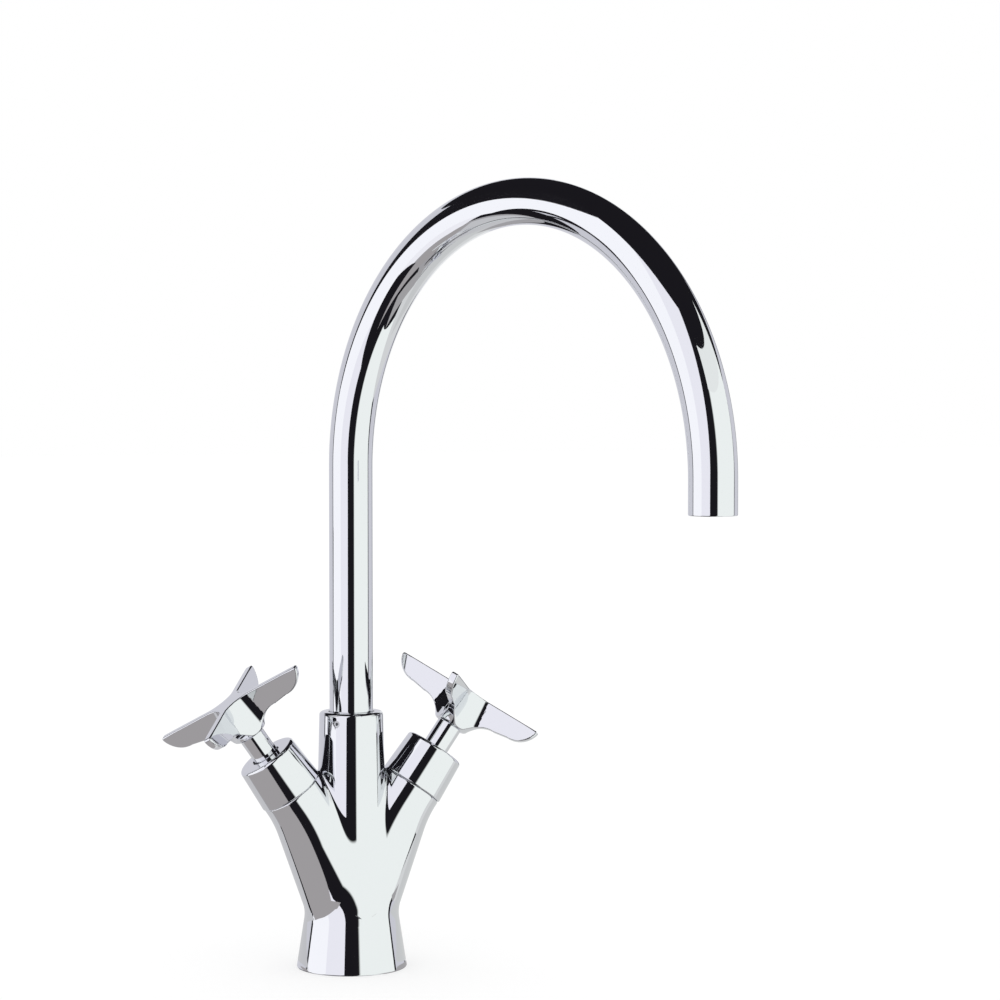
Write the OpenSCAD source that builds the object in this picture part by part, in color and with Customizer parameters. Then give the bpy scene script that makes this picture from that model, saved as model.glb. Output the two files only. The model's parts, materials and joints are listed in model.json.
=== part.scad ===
// Two-handle basin tap with a swivelling swan-neck spout and cross handles.
// Origin: centre of the base's underside, on the deck. +Z up, the user stands on the -Y side,
// the hot handle is on -X and the cold handle on +X. Millimetres and degrees.

/* [Body] */
// Diameter of the base on the deck
base_d = 48; // [46:1:54]
// Diameter of the waist, where the arms spring
waist_d = 40.5; // [39:0.5:43]
// Height of the waist above the deck
waist_h = 24.5; // [22:0.5:27]
// Height of the neck's top above the deck
body_h = 112; // [110:1:120]
// Diameter of the neck at its top
neck_d = 27.8; // [27:0.2:31]
// Diameter that the neck would have at the waist
neck_foot_d = 32; // [30:0.5:34]
// Radius of the rounding round the neck's top edge
neck_edge_r = 1.6; // [0.8:0.2:2.2]

/* [Arms] */
// Tilt of each arm's axis from the vertical
arm_tilt = 35; // [34:0.5:37]
// Height at which the arm axes cross the tap's axis
arm_root_h = 39; // [37:0.5:41]
// Distance from that crossing to the end face of an arm
arm_len = 48; // [47:0.5:52]
// Diameter of an arm at its end face
arm_d = 28; // [27:0.5:30]
// Length of the arm's straight end before it flares into the body
arm_straight = 7.5; // [6:0.5:12]

/* [Spout] */
// Outer diameter of the spout's tube
tube_d = 19; // [18:0.2:19.4]
// Wall thickness of the tube
tube_wall = 1.2; // [1:0.1:1.5]
// Height of the arch's centre above the deck
arch_h = 218.5; // [190:0.5:240]
// Radius of the arch to the tube's centreline
arch_r = 110; // [80:1:130]
// Length of the straight tail before the outlet
tail_len = 13.5; // [12:0.5:30]
// Swing of the spout at rest, from straight ahead towards the cold side
spout_swing = 21; // [-45:1:45]
// Whole swivel of the spout between its stops
swivel_range = 120; // [60:5:150]

/* [Spout seat] */
// Diameter of the neck's bore, in which the spout's foot turns
neck_bore_d = 20; // [19.8:0.1:21]
// Metal left between that bore's floor and the valve bores, measured upwards
neck_floor_web = 7.7; // [6:0.1:10]
// Running gap between turning parts and their bores, on the radius
running_gap = 0.05; // [0.03:0.01:0.08]
// Waterway through the foot
foot_bore_d = 12; // [10:0.5:13]
// Length of the foot's spigot inside the tube
spigot_len = 12; // [8:1:16]
// Thickness of the slip washer under the foot
slip_washer_t = 1; // [0.8:0.1:1.5]
// How far the tube's lower end sits below the neck's top
tube_sink = 1.5; // [1:0.25:2]
// Depth of the retaining screw's axis below the neck's top
grub_depth = 4.5; // [4.4:0.1:5]
// Diameter of the retaining screw
grub_d = 3; // [2.5:0.5:3]

/* [Valve covers] */
// Diameter of a valve cover at the arm
cover_d = 28.8; // [28:0.2:30]
// Diameter of a valve cover at its outer end
cover_top_d = 26.8; // [26:0.2:28]
// Length of a valve cover
cover_len = 19.5; // [19:0.5:22]
// Wall thickness of a valve cover
cover_wall = 1.5; // [1.2:0.1:1.7]
// Thickness of a valve cover's end
cover_roof = 2.3; // [2:0.1:2.6]
// Diameter of the hole that the stem leaves through
cover_hole_d = 12.8; // [12.4:0.1:13.4]
// Radius of the rounding round a valve cover's outer edge
cover_edge_r = 1.5; // [0.8:0.1:1.8]

/* [Valves] */
// Diameter of a valve's body in its arm
valve_d = 20.4; // [19.8:0.1:20.6]
// Depth of the valve seat below the arm's end face
seat_depth = 23; // [22:0.5:24]
// Diameter of the ceramic discs
disc_d = 16.4; // [15.8:0.1:16.6]
// Thickness of one ceramic disc
disc_t = 3; // [2.6:0.1:3.2]
// Height of the seat seal
seat_seal_t = 2.6; // [2.2:0.1:3]
// Width of the valve's hexagon across its flats
hex_af = 21; // [20:0.5:21.5]
// Height of the valve's hexagon
hex_h = 5; // [4:0.5:6]
// Diameter of the valve's upper barrel
barrel_d = 17; // [16:0.5:18]
// Diameter of the spindle in the barrel
spindle_d = 9.9; // [9.5:0.1:10.2]
// Diameter of the spindle's driving end inside the handle
drive_d = 7.6; // [7.2:0.1:8]

/* [Handles] */
// Tip to tip span of a cross handle
handle_span = 72.5; // [66:0.5:78]
// Thickness of a blade
blade_t = 3.4; // [2.8:0.1:4]
// Depth of the handle from its flat top to the hub's underside
hub_h = 17.5; // [16.5:0.5:19]
// Radius of the concave fillets between the blades
web_r = 8.9; // [8.7:0.1:10.5]
// Radius of the round under each blade's tip
tip_r = 10.6; // [9:0.2:11]
// Depth of the blades at the tip round
tip_depth = 9; // [8:0.25:9.5]
// Radius of the hollow that runs from the blades into the hub
hub_hollow_r = 12; // [11:0.5:13]
// Diameter of the stem sleeve
stem_d = 11.4; // [11:0.1:12]
// Length of stem that shows between the cover and the hub
stem_show = 11.5; // [8:0.5:14]
// Turn of the handles at rest, seen from their outer end
handle_turn = -36; // [-90:1:90]

/* [Base] */
// Diameter of the recess under the base
recess_d = 32; // [31:0.5:33]
// Depth of the recess under the base
recess_depth = 4; // [3:0.5:5]
// Distance of each supply inlet from the middle of the base
inlet_x = 9; // [8.5:0.25:9.5]
// Diameter of a supply inlet's threaded hole
inlet_d = 9; // [8.4:0.1:9.2]
// Depth of a supply inlet's threaded hole
inlet_len = 12; // [10:0.5:14]
// Distance of the fixing stud's hole in front of the middle
stud_y = 10.5; // [10.2:0.1:11]
// Diameter of the fixing stud's threaded hole
stud_d = 6.8; // [6.4:0.1:7]
// Depth of the fixing stud's threaded hole
stud_len = 14; // [10:0.5:15]
// Width of the base seal's ring
seal_w = 3; // [2.5:0.1:3.4]
// Thickness of the base seal
seal_t = 1.6; // [1.2:0.1:2]

/* [Outlet] */
// Length of the aerator's housing
aerator_len = 8; // [7:0.5:10]
// Wall thickness of the aerator's housing
aerator_wall = 1; // [0.8:0.1:1.2]
// How far the housing sits inside the tube's end
aerator_sink = 0.4; // [0.2:0.1:1]
// Side of one square opening of the outlet grid
grid_hole = 1.5; // [1.3:0.1:1.7]
// Pitch of the outlet grid
grid_pitch = 2.2; // [2.1:0.1:2.6]

/* [Hidden] */
$fn = 96;

// Sides of the tap
HOT = -1;
COLD = 1;

// Small lengths shared by several pieces
cut = 1;
skin = 0.1;
assembly_gap = 0.15;

// Body
base_edge = 0.6;
seal_outer_d = (base_d + recess_d) / 2 + seal_w;
arm_end_x = arm_len * sin(arm_tilt);
arm_end_z = arm_root_h + arm_len * cos(arm_tilt);
valve_bore_d = valve_d + 2 * assembly_gap;
// Where the inner side of a valve bore passes under the edge of the neck's bore
valve_bore_s = (neck_bore_d / 2 + valve_bore_d / 2 * cos(arm_tilt)) / sin(arm_tilt);
valve_bore_z = arm_root_h + valve_bore_s * cos(arm_tilt) + valve_bore_d / 2 * sin(arm_tilt);
neck_bore_floor = valve_bore_z + neck_floor_web;
seat_pocket_d = 9;
seat_pocket_depth = 5;
channel_d = 8;
cross_port_d = 7;
// The cross port meets both valve bores just under that place, by the valves' windows
cross_port_drop = 1.3;
cross_port_z = valve_bore_z - cross_port_drop;
skirt_h = 18;
// The arms' roots start just inside the waist's edge and end just inside the straight ends
root_inset = 0.1;
root_overrun = 2;

// Spout's foot, from the bore's floor up
foot_d = neck_bore_d - 2 * running_gap;
foot_low = neck_bore_floor + slip_washer_t + skin;
foot_top = body_h - tube_sink;
tube_bore_d = tube_d - 2 * tube_wall;
grub_z = body_h - grub_depth;
grub_angle = -135;
grub_tip_d = grub_d - 1.1;
grub_tip_reach = 1.1;
grub_socket = 1.5;
grub_groove_depth = grub_tip_reach + 0.4;
grub_groove_w = grub_tip_d + 0.6;
ring_section = 1.7;
ring_groove_w = ring_section + 0.4;
spout_ring_d = neck_bore_d - running_gap;
// The rings share out the foot's length below the retaining screw
ring_run = grub_z - foot_low;
lower_ring_z = foot_low + 0.18 * ring_run;
upper_ring_z = foot_low + 0.47 * ring_run;
guide_ring_z = foot_low + 0.7 * ring_run;
guide_ring_h = 3;
guide_ring_t = 1.2;
guide_split = 14;

// Swivel limits, counted from straight ahead
stop_margin = 1.5;
grub_half_angle = asin(grub_tip_d / (foot_d - 2 * grub_tip_reach)) + stop_margin;

// Outlet, in the frame of the tube's end
housing_d = tube_bore_d - 2 * assembly_gap;
aerator_seal_t = 1.5;
grid_t = 1.6;
grid_lip = 0.8;

// Valve, from the arm's end face: down is negative
body_bottom = -seat_depth + 0.9;
disc_bore_d = disc_d + 0.5;
seal_top = -seat_depth + seat_seal_t;
fixed_top = seal_top + skin + disc_t;
moving_top = fixed_top + skin + disc_t;
driver_t = 2.6;
driver_top = moving_top + skin + driver_t;
disc_bore_top = driver_top + 0.3;
window_d = 5;
window_z = (fixed_top + disc_bore_top) / 2;
barrel_top = cover_len - cover_roof - 1.2;
spindle_bore_d = spindle_d + 2 * running_gap;
clip_t = 1;
clip_d = 12.2;
clip_groove_d = spindle_d - 1.6;
spindle_ring_d = spindle_bore_d - running_gap;
spindle_ring_z = hex_h + 2.5;
valve_ring_d = valve_bore_d - running_gap;
valve_ring_z = -7;
disc_key = 1.2;

// Handle, from the arm's end face: out is positive
hub_low = cover_len + stem_show;
hub_top = hub_low + hub_h;
sleeve_low = barrel_top + clip_t + 0.4;
sleeve_seat = 2;
spindle_top = hub_low + hub_h - 4;
// The concave arcs dip this far into the blades' sides, so that they cross them
web_dip = 0.04;
web = web_r + blade_t / 2 - web_dip;
// The blades' underside, from the hub's hollow out to the tip's round
blade_run = 7;
blade_slope = 0.16;
tip_blend = 0.1;
handle_screw_d = 3;
handle_screw_z = hub_low + 6;
handle_screw_flat = 0.7;
handle_screw_angle = 135;

// Colours
chrome = [0.80, 0.81, 0.84];
raw_brass = [0.80, 0.66, 0.36];
dark_rubber = [0.12, 0.12, 0.13];
ceramic = [0.93, 0.92, 0.88];
steel = [0.62, 0.63, 0.65];
pale_plastic = [0.86, 0.87, 0.86];

// Frames
module on_arm(side) {
    translate([0, 0, arm_root_h])
        rotate([0, side * arm_tilt, 0])
            translate([0, 0, arm_len])
                children();
}

// The spout's own plane: its column on the Z axis and its arch towards +X
module on_spout() {
    rotate([0, 0, spout_swing - 90])
        children();
}

// The frame of the tube's end, with +Z pointing out of the outlet
module on_outlet() {
    on_spout()
        translate([2 * arch_r, 0, arch_h - tail_len])
            rotate([180, 0, 0])
                children();
}

// Shared shapes
module ring(outer_d, inner_d, h) {
    difference() {
        cylinder(h = h, d = outer_d);
        translate([0, 0, -cut])
            cylinder(h = h + 2 * cut, d = inner_d);
    }
}

module o_ring(outer_d, section) {
    rotate_extrude()
        translate([(outer_d - section) / 2, 0])
            circle(d = section, $fn = 32);
}

// Groove for an O-ring round a shaft: its floor just clears the ring
module ring_groove(shaft_d, ring_d, section) {
    translate([0, 0, -ring_groove_w / 2])
        ring(shaft_d + 2 * cut, ring_d - 2 * section - skin, ring_groove_w);
}

// A straight drilling between two points
module drilling(from, to, d) {
    way = to - from;
    reach = norm(way);
    translate(from)
        rotate([0, acos(way[2] / reach), atan2(way[1], way[0])])
            cylinder(h = reach, d = d, $fn = 48);
}

// Mixer body
// The middle of the body in section: flared base, skirt under the arms, tapering neck
module body_section() {
    edge_z = body_h - neck_edge_r;
    edge_x = neck_d / 2 - neck_edge_r;
    difference() {
        union() {
            polygon([
                [0, 0],
                [base_d / 2 - base_edge, 0],
                [base_d / 2, base_edge],
                [waist_d / 2, waist_h],
                [neck_foot_d / 2 - 1, waist_h + skirt_h],
                [neck_d / 2, edge_z],
                [edge_x, edge_z],
                [edge_x, body_h],
                [0, body_h]
            ]);
            translate([edge_x, edge_z])
                circle(r = neck_edge_r, $fn = 48);
        }
        translate([-neck_d, 0])
            square([neck_d, body_h + cut]);
    }
}

// An arm: a straight end, and a cone that runs from it down to the waist
module arm(side) {
    straight_low = arm_len - arm_straight;
    outer_x = straight_low * sin(arm_tilt) + arm_d / 2 * cos(arm_tilt);
    outer_z = arm_root_h + straight_low * cos(arm_tilt) - arm_d / 2 * sin(arm_tilt) - waist_h;
    root_tilt = atan2(arm_end_x, arm_end_z - waist_h);
    low_s = (waist_d / 2 - root_inset) * sin(root_tilt);
    low_r = (waist_d / 2 - root_inset) * cos(root_tilt);
    high_s = outer_x * sin(root_tilt) + outer_z * cos(root_tilt);
    high_r = outer_x * cos(root_tilt) - outer_z * sin(root_tilt);
    slope = (high_r - low_r) / (high_s - low_s);
    on_arm(side)
        translate([0, 0, -arm_len * 0.7])
            cylinder(h = arm_len * 0.7, d = arm_d);
    translate([0, 0, waist_h])
        rotate([0, side * root_tilt, 0])
            cylinder(
                h = high_s + root_overrun,
                r1 = low_r - slope * low_s,
                r2 = high_r + slope * root_overrun
            );
}

module waterways() {
    translate([0, 0, neck_bore_floor])
        cylinder(h = body_h - neck_bore_floor + cut, d = neck_bore_d);
    translate([0, 0, cross_port_z])
        cylinder(h = neck_bore_floor - cross_port_z + cut, d = channel_d, $fn = 48);
    for (side = [HOT, COLD]) {
        on_arm(side) {
            translate([0, 0, -seat_depth])
                cylinder(h = seat_depth + cut, d = valve_bore_d);
            translate([0, 0, -seat_depth - seat_pocket_depth])
                cylinder(h = seat_pocket_depth + cut, d = seat_pocket_d, $fn = 48);
        }
        port_reach = (arm_len - seat_depth) * sin(arm_tilt);
        drilling([0, 0, cross_port_z], [side * port_reach, 0, cross_port_z], cross_port_d);
        seat_s = arm_len - seat_depth - seat_pocket_depth / 2;
        drilling(
            [side * inlet_x, 0, recess_depth + inlet_len - cut],
            [side * seat_s * sin(arm_tilt), 0, arm_root_h + seat_s * cos(arm_tilt)],
            inlet_d - 2
        );
    }
}

module mixer_body() {
    color(chrome)
    difference() {
        union() {
            rotate_extrude()
                body_section();
            for (side = [HOT, COLD])
                arm(side);
        }
        waterways();
        translate([0, 0, -cut])
            cylinder(h = recess_depth + cut, d = recess_d);
        for (side = [HOT, COLD])
            translate([side * inlet_x, 0, 0])
                cylinder(h = recess_depth + inlet_len, d = inlet_d, $fn = 48);
        translate([0, -stud_y, 0])
            cylinder(h = recess_depth + stud_len, d = stud_d, $fn = 48);
        // Groove of the base seal
        translate([0, 0, -cut])
            ring(seal_outer_d, seal_outer_d - 2 * seal_w, seal_t + cut);
        // Threaded hole of the spout's retaining screw
        rotate([0, 0, grub_angle])
            translate([0, 0, grub_z])
                rotate([0, 90, 0])
                    cylinder(h = neck_d, d = grub_d + 2 * running_gap, $fn = 32);
    }
}

module base_seal() {
    color(dark_rubber)
    ring(seal_outer_d - skin, seal_outer_d - 2 * seal_w + skin, seal_t);
}

// Spout
module bent_rod(d, overrun) {
    translate([0, 0, foot_top - overrun])
        cylinder(h = arch_h - foot_top + overrun, d = d);
    translate([arch_r, 0, arch_h])
        rotate([90, 0, 0])
            rotate_extrude(angle = 180)
                translate([arch_r, 0])
                    circle(d = d);
    translate([2 * arch_r, 0, arch_h - tail_len - overrun])
        cylinder(h = tail_len + overrun, d = d);
}

module spout_tube() {
    color(chrome)
    on_spout()
        difference() {
            bent_rod(tube_d, 0);
            bent_rod(tube_bore_d, cut);
        }
}

// The groove of the retaining screw runs only as far round as the spout may swivel
module stop_groove() {
    start = grub_angle - (swivel_range / 2 - spout_swing) - grub_half_angle;
    rotate([0, 0, start])
        translate([0, 0, grub_z - grub_groove_w / 2])
            rotate_extrude(angle = swivel_range + 2 * grub_half_angle)
                translate([foot_d / 2 - grub_groove_depth, 0])
                    square([grub_groove_depth + cut, grub_groove_w]);
}

module spout_foot() {
    color(raw_brass)
    difference() {
        union() {
            translate([0, 0, foot_low])
                cylinder(h = foot_top - foot_low, d = foot_d);
            translate([0, 0, foot_top - cut])
                cylinder(h = spigot_len + cut, d = tube_bore_d - 2 * running_gap);
        }
        translate([0, 0, foot_low - cut])
            cylinder(h = foot_top - foot_low + spigot_len + 2 * cut, d = foot_bore_d);
        for (z = [lower_ring_z, upper_ring_z])
            translate([0, 0, z])
                ring_groove(foot_d, spout_ring_d, ring_section);
        translate([0, 0, guide_ring_z - guide_ring_h / 2 - skin])
            ring(foot_d + 2 * cut, spout_ring_d - 2 * guide_ring_t - skin, guide_ring_h + 2 * skin);
        stop_groove();
    }
}

module spout_upper_o_ring() {
    color(dark_rubber)
    translate([0, 0, upper_ring_z])
        o_ring(spout_ring_d, ring_section);
}

module spout_lower_o_ring() {
    color(dark_rubber)
    translate([0, 0, lower_ring_z])
        o_ring(spout_ring_d, ring_section);
}

// A split ring that keeps the foot's metal off the bore
module spout_guide_ring() {
    color(pale_plastic)
    translate([0, 0, guide_ring_z - guide_ring_h / 2])
        rotate([0, 0, guide_split])
            rotate_extrude(angle = 360 - guide_split)
                translate([spout_ring_d / 2 - guide_ring_t, 0])
                    square([guide_ring_t, guide_ring_h]);
}

module spout_slip_washer() {
    color(pale_plastic)
    translate([0, 0, neck_bore_floor])
        ring(neck_bore_d - 4 * running_gap, foot_bore_d, slip_washer_t);
}

// A socket screw whose plain tip runs in the foot's groove
module spout_grub_screw() {
    head = neck_d / 2 - 0.4;
    shank = neck_bore_d / 2 + skin;
    tip = foot_d / 2 - grub_tip_reach;
    color(steel)
    rotate([0, 0, grub_angle])
        translate([0, 0, grub_z])
            rotate([0, 90, 0])
                difference() {
                    union() {
                        translate([0, 0, shank])
                            cylinder(h = head - shank, d = grub_d, $fn = 32);
                        translate([0, 0, tip])
                            cylinder(h = head - tip - skin, d = grub_tip_d, $fn = 32);
                    }
                    translate([0, 0, head - grub_socket])
                        cylinder(h = grub_socket + cut, d = grub_d / 2, $fn = 6);
                }
}

// Outlet
module aerator_housing() {
    color(chrome)
    on_outlet()
        translate([0, 0, -aerator_sink - aerator_len])
            difference() {
                cylinder(h = aerator_len, d = housing_d);
                translate([0, 0, -cut])
                    cylinder(h = aerator_len - grid_lip + cut, d = housing_d - 2 * aerator_wall);
                cylinder(h = aerator_len + cut, d = housing_d - 4 * aerator_wall);
            }
}

module aerator_grid() {
    reach = housing_d / 2 - 2 * aerator_wall - grid_hole;
    count = floor(reach / grid_pitch);
    color(pale_plastic)
    on_outlet()
        translate([0, 0, -aerator_sink - grid_lip - skin - grid_t])
            linear_extrude(grid_t)
                difference() {
                    circle(d = housing_d - 2 * aerator_wall - 2 * skin);
                    for (i = [-count : count], j = [-count : count])
                        if (norm([i, j]) * grid_pitch < reach)
                            translate([i * grid_pitch, j * grid_pitch])
                                square(grid_hole, center = true);
                }
}

module aerator_seal() {
    color(dark_rubber)
    on_outlet()
        translate([0, 0, -aerator_sink - aerator_len - aerator_seal_t])
            ring(housing_d, housing_d - 4 * aerator_wall, aerator_seal_t);
}

// Valve cover: a tapered shell with a rounded outer edge, closed round the stem
module cover_section() {
    edge_z = cover_len - cover_edge_r;
    edge_x = cover_top_d / 2 - cover_edge_r;
    difference() {
        union() {
            polygon([
                [0, 0],
                [cover_d / 2, 0],
                [cover_top_d / 2, edge_z],
                [edge_x, edge_z],
                [edge_x, cover_len],
                [0, cover_len]
            ]);
            translate([edge_x, edge_z])
                circle(r = cover_edge_r, $fn = 48);
        }
        polygon([
            [0, -cut],
            [cover_d / 2 - cover_wall, -cut],
            [cover_top_d / 2 - cover_wall, cover_len - cover_roof],
            [0, cover_len - cover_roof]
        ]);
        square([cover_hole_d / 2, cover_len + cut]);
    }
}

module cover(side) {
    color(chrome)
    on_arm(side)
        rotate_extrude()
            cover_section();
}

// Valve body: skirt in the arm, hexagon on the arm's face, barrel round the spindle
module valve_body(side) {
    color(raw_brass)
    on_arm(side)
        difference() {
            union() {
                translate([0, 0, body_bottom])
                    cylinder(h = -body_bottom + cut, d = valve_d);
                cylinder(h = hex_h, d = hex_af / cos(30), $fn = 6);
                cylinder(h = barrel_top, d = barrel_d);
            }
            translate([0, 0, body_bottom - cut])
                cylinder(h = disc_bore_top - body_bottom + cut, d = disc_bore_d);
            translate([0, 0, body_bottom])
                cylinder(h = barrel_top - body_bottom + cut, d = spindle_bore_d);
            translate([0, 0, window_z])
                for (turn = [0, 90])
                    rotate([0, 90, turn])
                        cylinder(h = valve_d + 2 * cut, d = window_d, center = true, $fn = 32);
            translate([0, 0, valve_ring_z])
                ring_groove(valve_d, valve_ring_d, ring_section);
        }
}

module valve_o_ring(side) {
    color(dark_rubber)
    on_arm(side)
        translate([0, 0, valve_ring_z])
            o_ring(valve_ring_d, ring_section);
}

module seat_seal(side) {
    color(dark_rubber)
    on_arm(side)
        translate([0, 0, -seat_depth])
            ring(disc_d, seat_pocket_d, seat_seal_t);
}

// A ceramic disc with two opposite quarter openings
module disc_plan() {
    difference() {
        circle(d = disc_d);
        for (turn = [0, 180])
            rotate([0, 0, turn])
                intersection() {
                    circle(d = disc_d - 4);
                    rotate([0, 0, 45])
                        translate([disc_key, disc_key])
                            square(disc_d);
                }
    }
}

module fixed_disc(side) {
    color(ceramic)
    on_arm(side)
        translate([0, 0, seal_top + skin])
            linear_extrude(disc_t)
                disc_plan();
}

module moving_disc(side) {
    color(ceramic)
    on_arm(side)
        translate([0, 0, fixed_top + skin])
            rotate([0, 0, 90])
                linear_extrude(disc_t)
                    disc_plan();
}

// Spindle: driver plate on the moving disc, journal in the barrel, driving end in the handle
module spindle(side) {
    color(raw_brass)
    on_arm(side)
        difference() {
            union() {
                translate([0, 0, moving_top + skin])
                    cylinder(h = driver_t, d = disc_d);
                translate([0, 0, moving_top + skin])
                    cylinder(h = sleeve_low - moving_top - skin, d = spindle_d);
                translate([0, 0, sleeve_low - cut])
                    cylinder(h = spindle_top - sleeve_low + cut, d = drive_d, $fn = 48);
            }
            translate([0, 0, barrel_top + skin])
                ring(spindle_d + 2 * cut, clip_groove_d, clip_t + 2 * skin);
            translate([0, 0, spindle_ring_z])
                ring_groove(spindle_d, spindle_ring_d, ring_section);
            // Flat for the handle's screw
            rotate([0, 0, handle_turn + handle_screw_angle])
                translate([drive_d / 2 - handle_screw_flat, -drive_d / 2, handle_screw_z - handle_screw_d])
                    cube([drive_d, drive_d, spindle_top]);
            // Passages through the driver plate over the moving disc's openings
            for (turn = [0, 180])
                rotate([0, 0, turn])
                    translate([0, (disc_d + spindle_d) / 4 + 0.6, moving_top])
                        cylinder(h = driver_t + cut, d = 3, $fn = 32);
        }
}

module spindle_o_ring(side) {
    color(dark_rubber)
    on_arm(side)
        translate([0, 0, spindle_ring_z])
            o_ring(spindle_ring_d, ring_section);
}

// A spring clip, open on one side, that holds the spindle in the barrel
module spindle_clip(side) {
    color(steel)
    on_arm(side)
        translate([0, 0, barrel_top + 2 * skin])
            linear_extrude(clip_t)
                difference() {
                    circle(d = clip_d);
                    circle(d = clip_groove_d + 2 * skin);
                    translate([0, -clip_groove_d / 4])
                        square([clip_d, clip_groove_d / 2]);
                }
}

module stem_sleeve(side) {
    color(chrome)
    on_arm(side)
        translate([0, 0, sleeve_low])
            ring(stem_d, drive_d + 2 * assembly_gap, hub_low + sleeve_seat - sleeve_low);
}

// Plan of the cross: two blades, filled out to concave arcs between them
module cross_plan() {
    square([handle_span, blade_t], center = true);
    square([blade_t, handle_span], center = true);
    difference() {
        square(2 * web, center = true);
        for (x = [-web, web], y = [-web, web])
            translate([x, y])
                circle(r = web_r);
    }
}

// Side of the cross, as a section for a full turn: flat top, round tips, hollow run into the hub
module cross_section() {
    half = handle_span / 2;
    tip_x = half - sqrt(tip_r * tip_r - pow(tip_r - tip_depth, 2));
    hollow_x = tip_x - blade_run;
    hollow_z = tip_blend - tip_depth - blade_run * blade_slope;
    difference() {
        polygon([
            [0, 0],
            [half, 0],
            [half, tip_blend - tip_depth + (half - tip_x) * blade_slope],
            [hollow_x, hollow_z],
            [hollow_x, -hub_h],
            [0, -hub_h]
        ]);
        // What lies outside the tip's round
        difference() {
            translate([tip_x, -tip_depth - cut])
                square([tip_r, tip_depth + cut]);
            translate([tip_x, tip_r - tip_depth])
                circle(r = tip_r);
        }
        translate([hollow_x, hollow_z + tip_blend - hub_hollow_r])
            circle(r = hub_hollow_r);
    }
}

module handle(side) {
    color(chrome)
    on_arm(side)
        difference() {
            translate([0, 0, hub_top])
                intersection() {
                    rotate_extrude()
                        cross_section();
                    translate([0, 0, -hub_h - cut])
                        rotate([0, 0, handle_turn])
                            linear_extrude(hub_h + 2 * cut)
                                cross_plan();
                }
            translate([0, 0, hub_low - cut])
                cylinder(h = spindle_top - hub_low + 2 * cut, d = drive_d + 2 * assembly_gap, $fn = 48);
            translate([0, 0, hub_low - cut])
                cylinder(h = sleeve_seat + cut + skin, d = stem_d + skin);
            rotate([0, 0, handle_turn + handle_screw_angle])
                translate([0, 0, handle_screw_z])
                    rotate([0, 90, 0])
                        cylinder(h = handle_span / 2, d = handle_screw_d + skin, $fn = 32);
        }
}

module handle_screw(side) {
    outer = web * sqrt(2) - web_r - 0.2;
    inner = drive_d / 2 - handle_screw_flat + skin;
    color(steel)
    on_arm(side)
        rotate([0, 0, handle_turn + handle_screw_angle])
            translate([0, 0, handle_screw_z])
                rotate([0, 90, 0])
                    difference() {
                        translate([0, 0, inner])
                            cylinder(h = outer - inner, d = handle_screw_d, $fn = 32);
                        translate([0, 0, outer - 1])
                            cylinder(h = 2, d = handle_screw_d / 2, $fn = 6);
                    }
}

mixer_body();
base_seal();
spout_tube();
spout_foot();
spout_upper_o_ring();
spout_lower_o_ring();
spout_guide_ring();
spout_slip_washer();
spout_grub_screw();
aerator_housing();
aerator_grid();
aerator_seal();
cover(HOT);  // hot_cover
valve_body(HOT);  // hot_valve_body
valve_o_ring(HOT);  // hot_valve_o_ring
seat_seal(HOT);  // hot_seat_seal
fixed_disc(HOT);  // hot_fixed_disc
moving_disc(HOT);  // hot_moving_disc
spindle(HOT);  // hot_spindle
spindle_o_ring(HOT);  // hot_spindle_o_ring
spindle_clip(HOT);  // hot_spindle_clip
stem_sleeve(HOT);  // hot_stem_sleeve
handle(HOT);  // hot_handle
handle_screw(HOT);  // hot_handle_screw
cover(COLD);  // cold_cover
valve_body(COLD);  // cold_valve_body
valve_o_ring(COLD);  // cold_valve_o_ring
seat_seal(COLD);  // cold_seat_seal
fixed_disc(COLD);  // cold_fixed_disc
moving_disc(COLD);  // cold_moving_disc
spindle(COLD);  // cold_spindle
spindle_o_ring(COLD);  // cold_spindle_o_ring
spindle_clip(COLD);  // cold_spindle_clip
stem_sleeve(COLD);  // cold_stem_sleeve
handle(COLD);  // cold_handle
handle_screw(COLD);  // cold_handle_screw
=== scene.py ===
"""Visual model of a two-handle basin tap with a swan-neck spout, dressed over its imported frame.

Sizes are in millimetres and angles in degrees, and Blender gets metres. The tap stands on z = 0,
its user is on the -Y side, the hot handle is on -X and the cold handle on +X.
"""

import json
import logging
import math
from collections.abc import Callable, Iterable, Sequence
from dataclasses import dataclass, field
from enum import Enum

import bmesh
import bpy
import numpy as np
from mathutils import Matrix, Vector


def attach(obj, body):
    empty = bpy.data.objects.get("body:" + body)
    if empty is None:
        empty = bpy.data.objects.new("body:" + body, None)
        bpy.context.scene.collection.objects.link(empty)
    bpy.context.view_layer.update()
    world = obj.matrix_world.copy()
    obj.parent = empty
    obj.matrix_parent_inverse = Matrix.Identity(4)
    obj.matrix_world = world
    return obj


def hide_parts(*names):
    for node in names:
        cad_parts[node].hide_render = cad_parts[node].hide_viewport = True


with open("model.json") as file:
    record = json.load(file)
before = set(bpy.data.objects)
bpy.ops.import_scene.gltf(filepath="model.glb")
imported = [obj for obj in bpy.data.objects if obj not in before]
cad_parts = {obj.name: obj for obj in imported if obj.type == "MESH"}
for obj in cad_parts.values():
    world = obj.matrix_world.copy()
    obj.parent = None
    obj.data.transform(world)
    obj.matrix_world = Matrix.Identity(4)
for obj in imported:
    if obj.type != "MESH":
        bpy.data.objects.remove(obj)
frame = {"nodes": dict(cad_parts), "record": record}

MM = 0.001
LOG = logging.getLogger("basin_tap")
Array = np.ndarray
Field = Callable[[Array], Array]
Color = tuple[float, float, float]

# A length in millimetres that counts as nothing, the decimals by which two lengths are told apart,
# and what keeps a division from failing
TINY = 1e-6
DECIMALS = 5
LEAST = 1e-9


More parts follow.
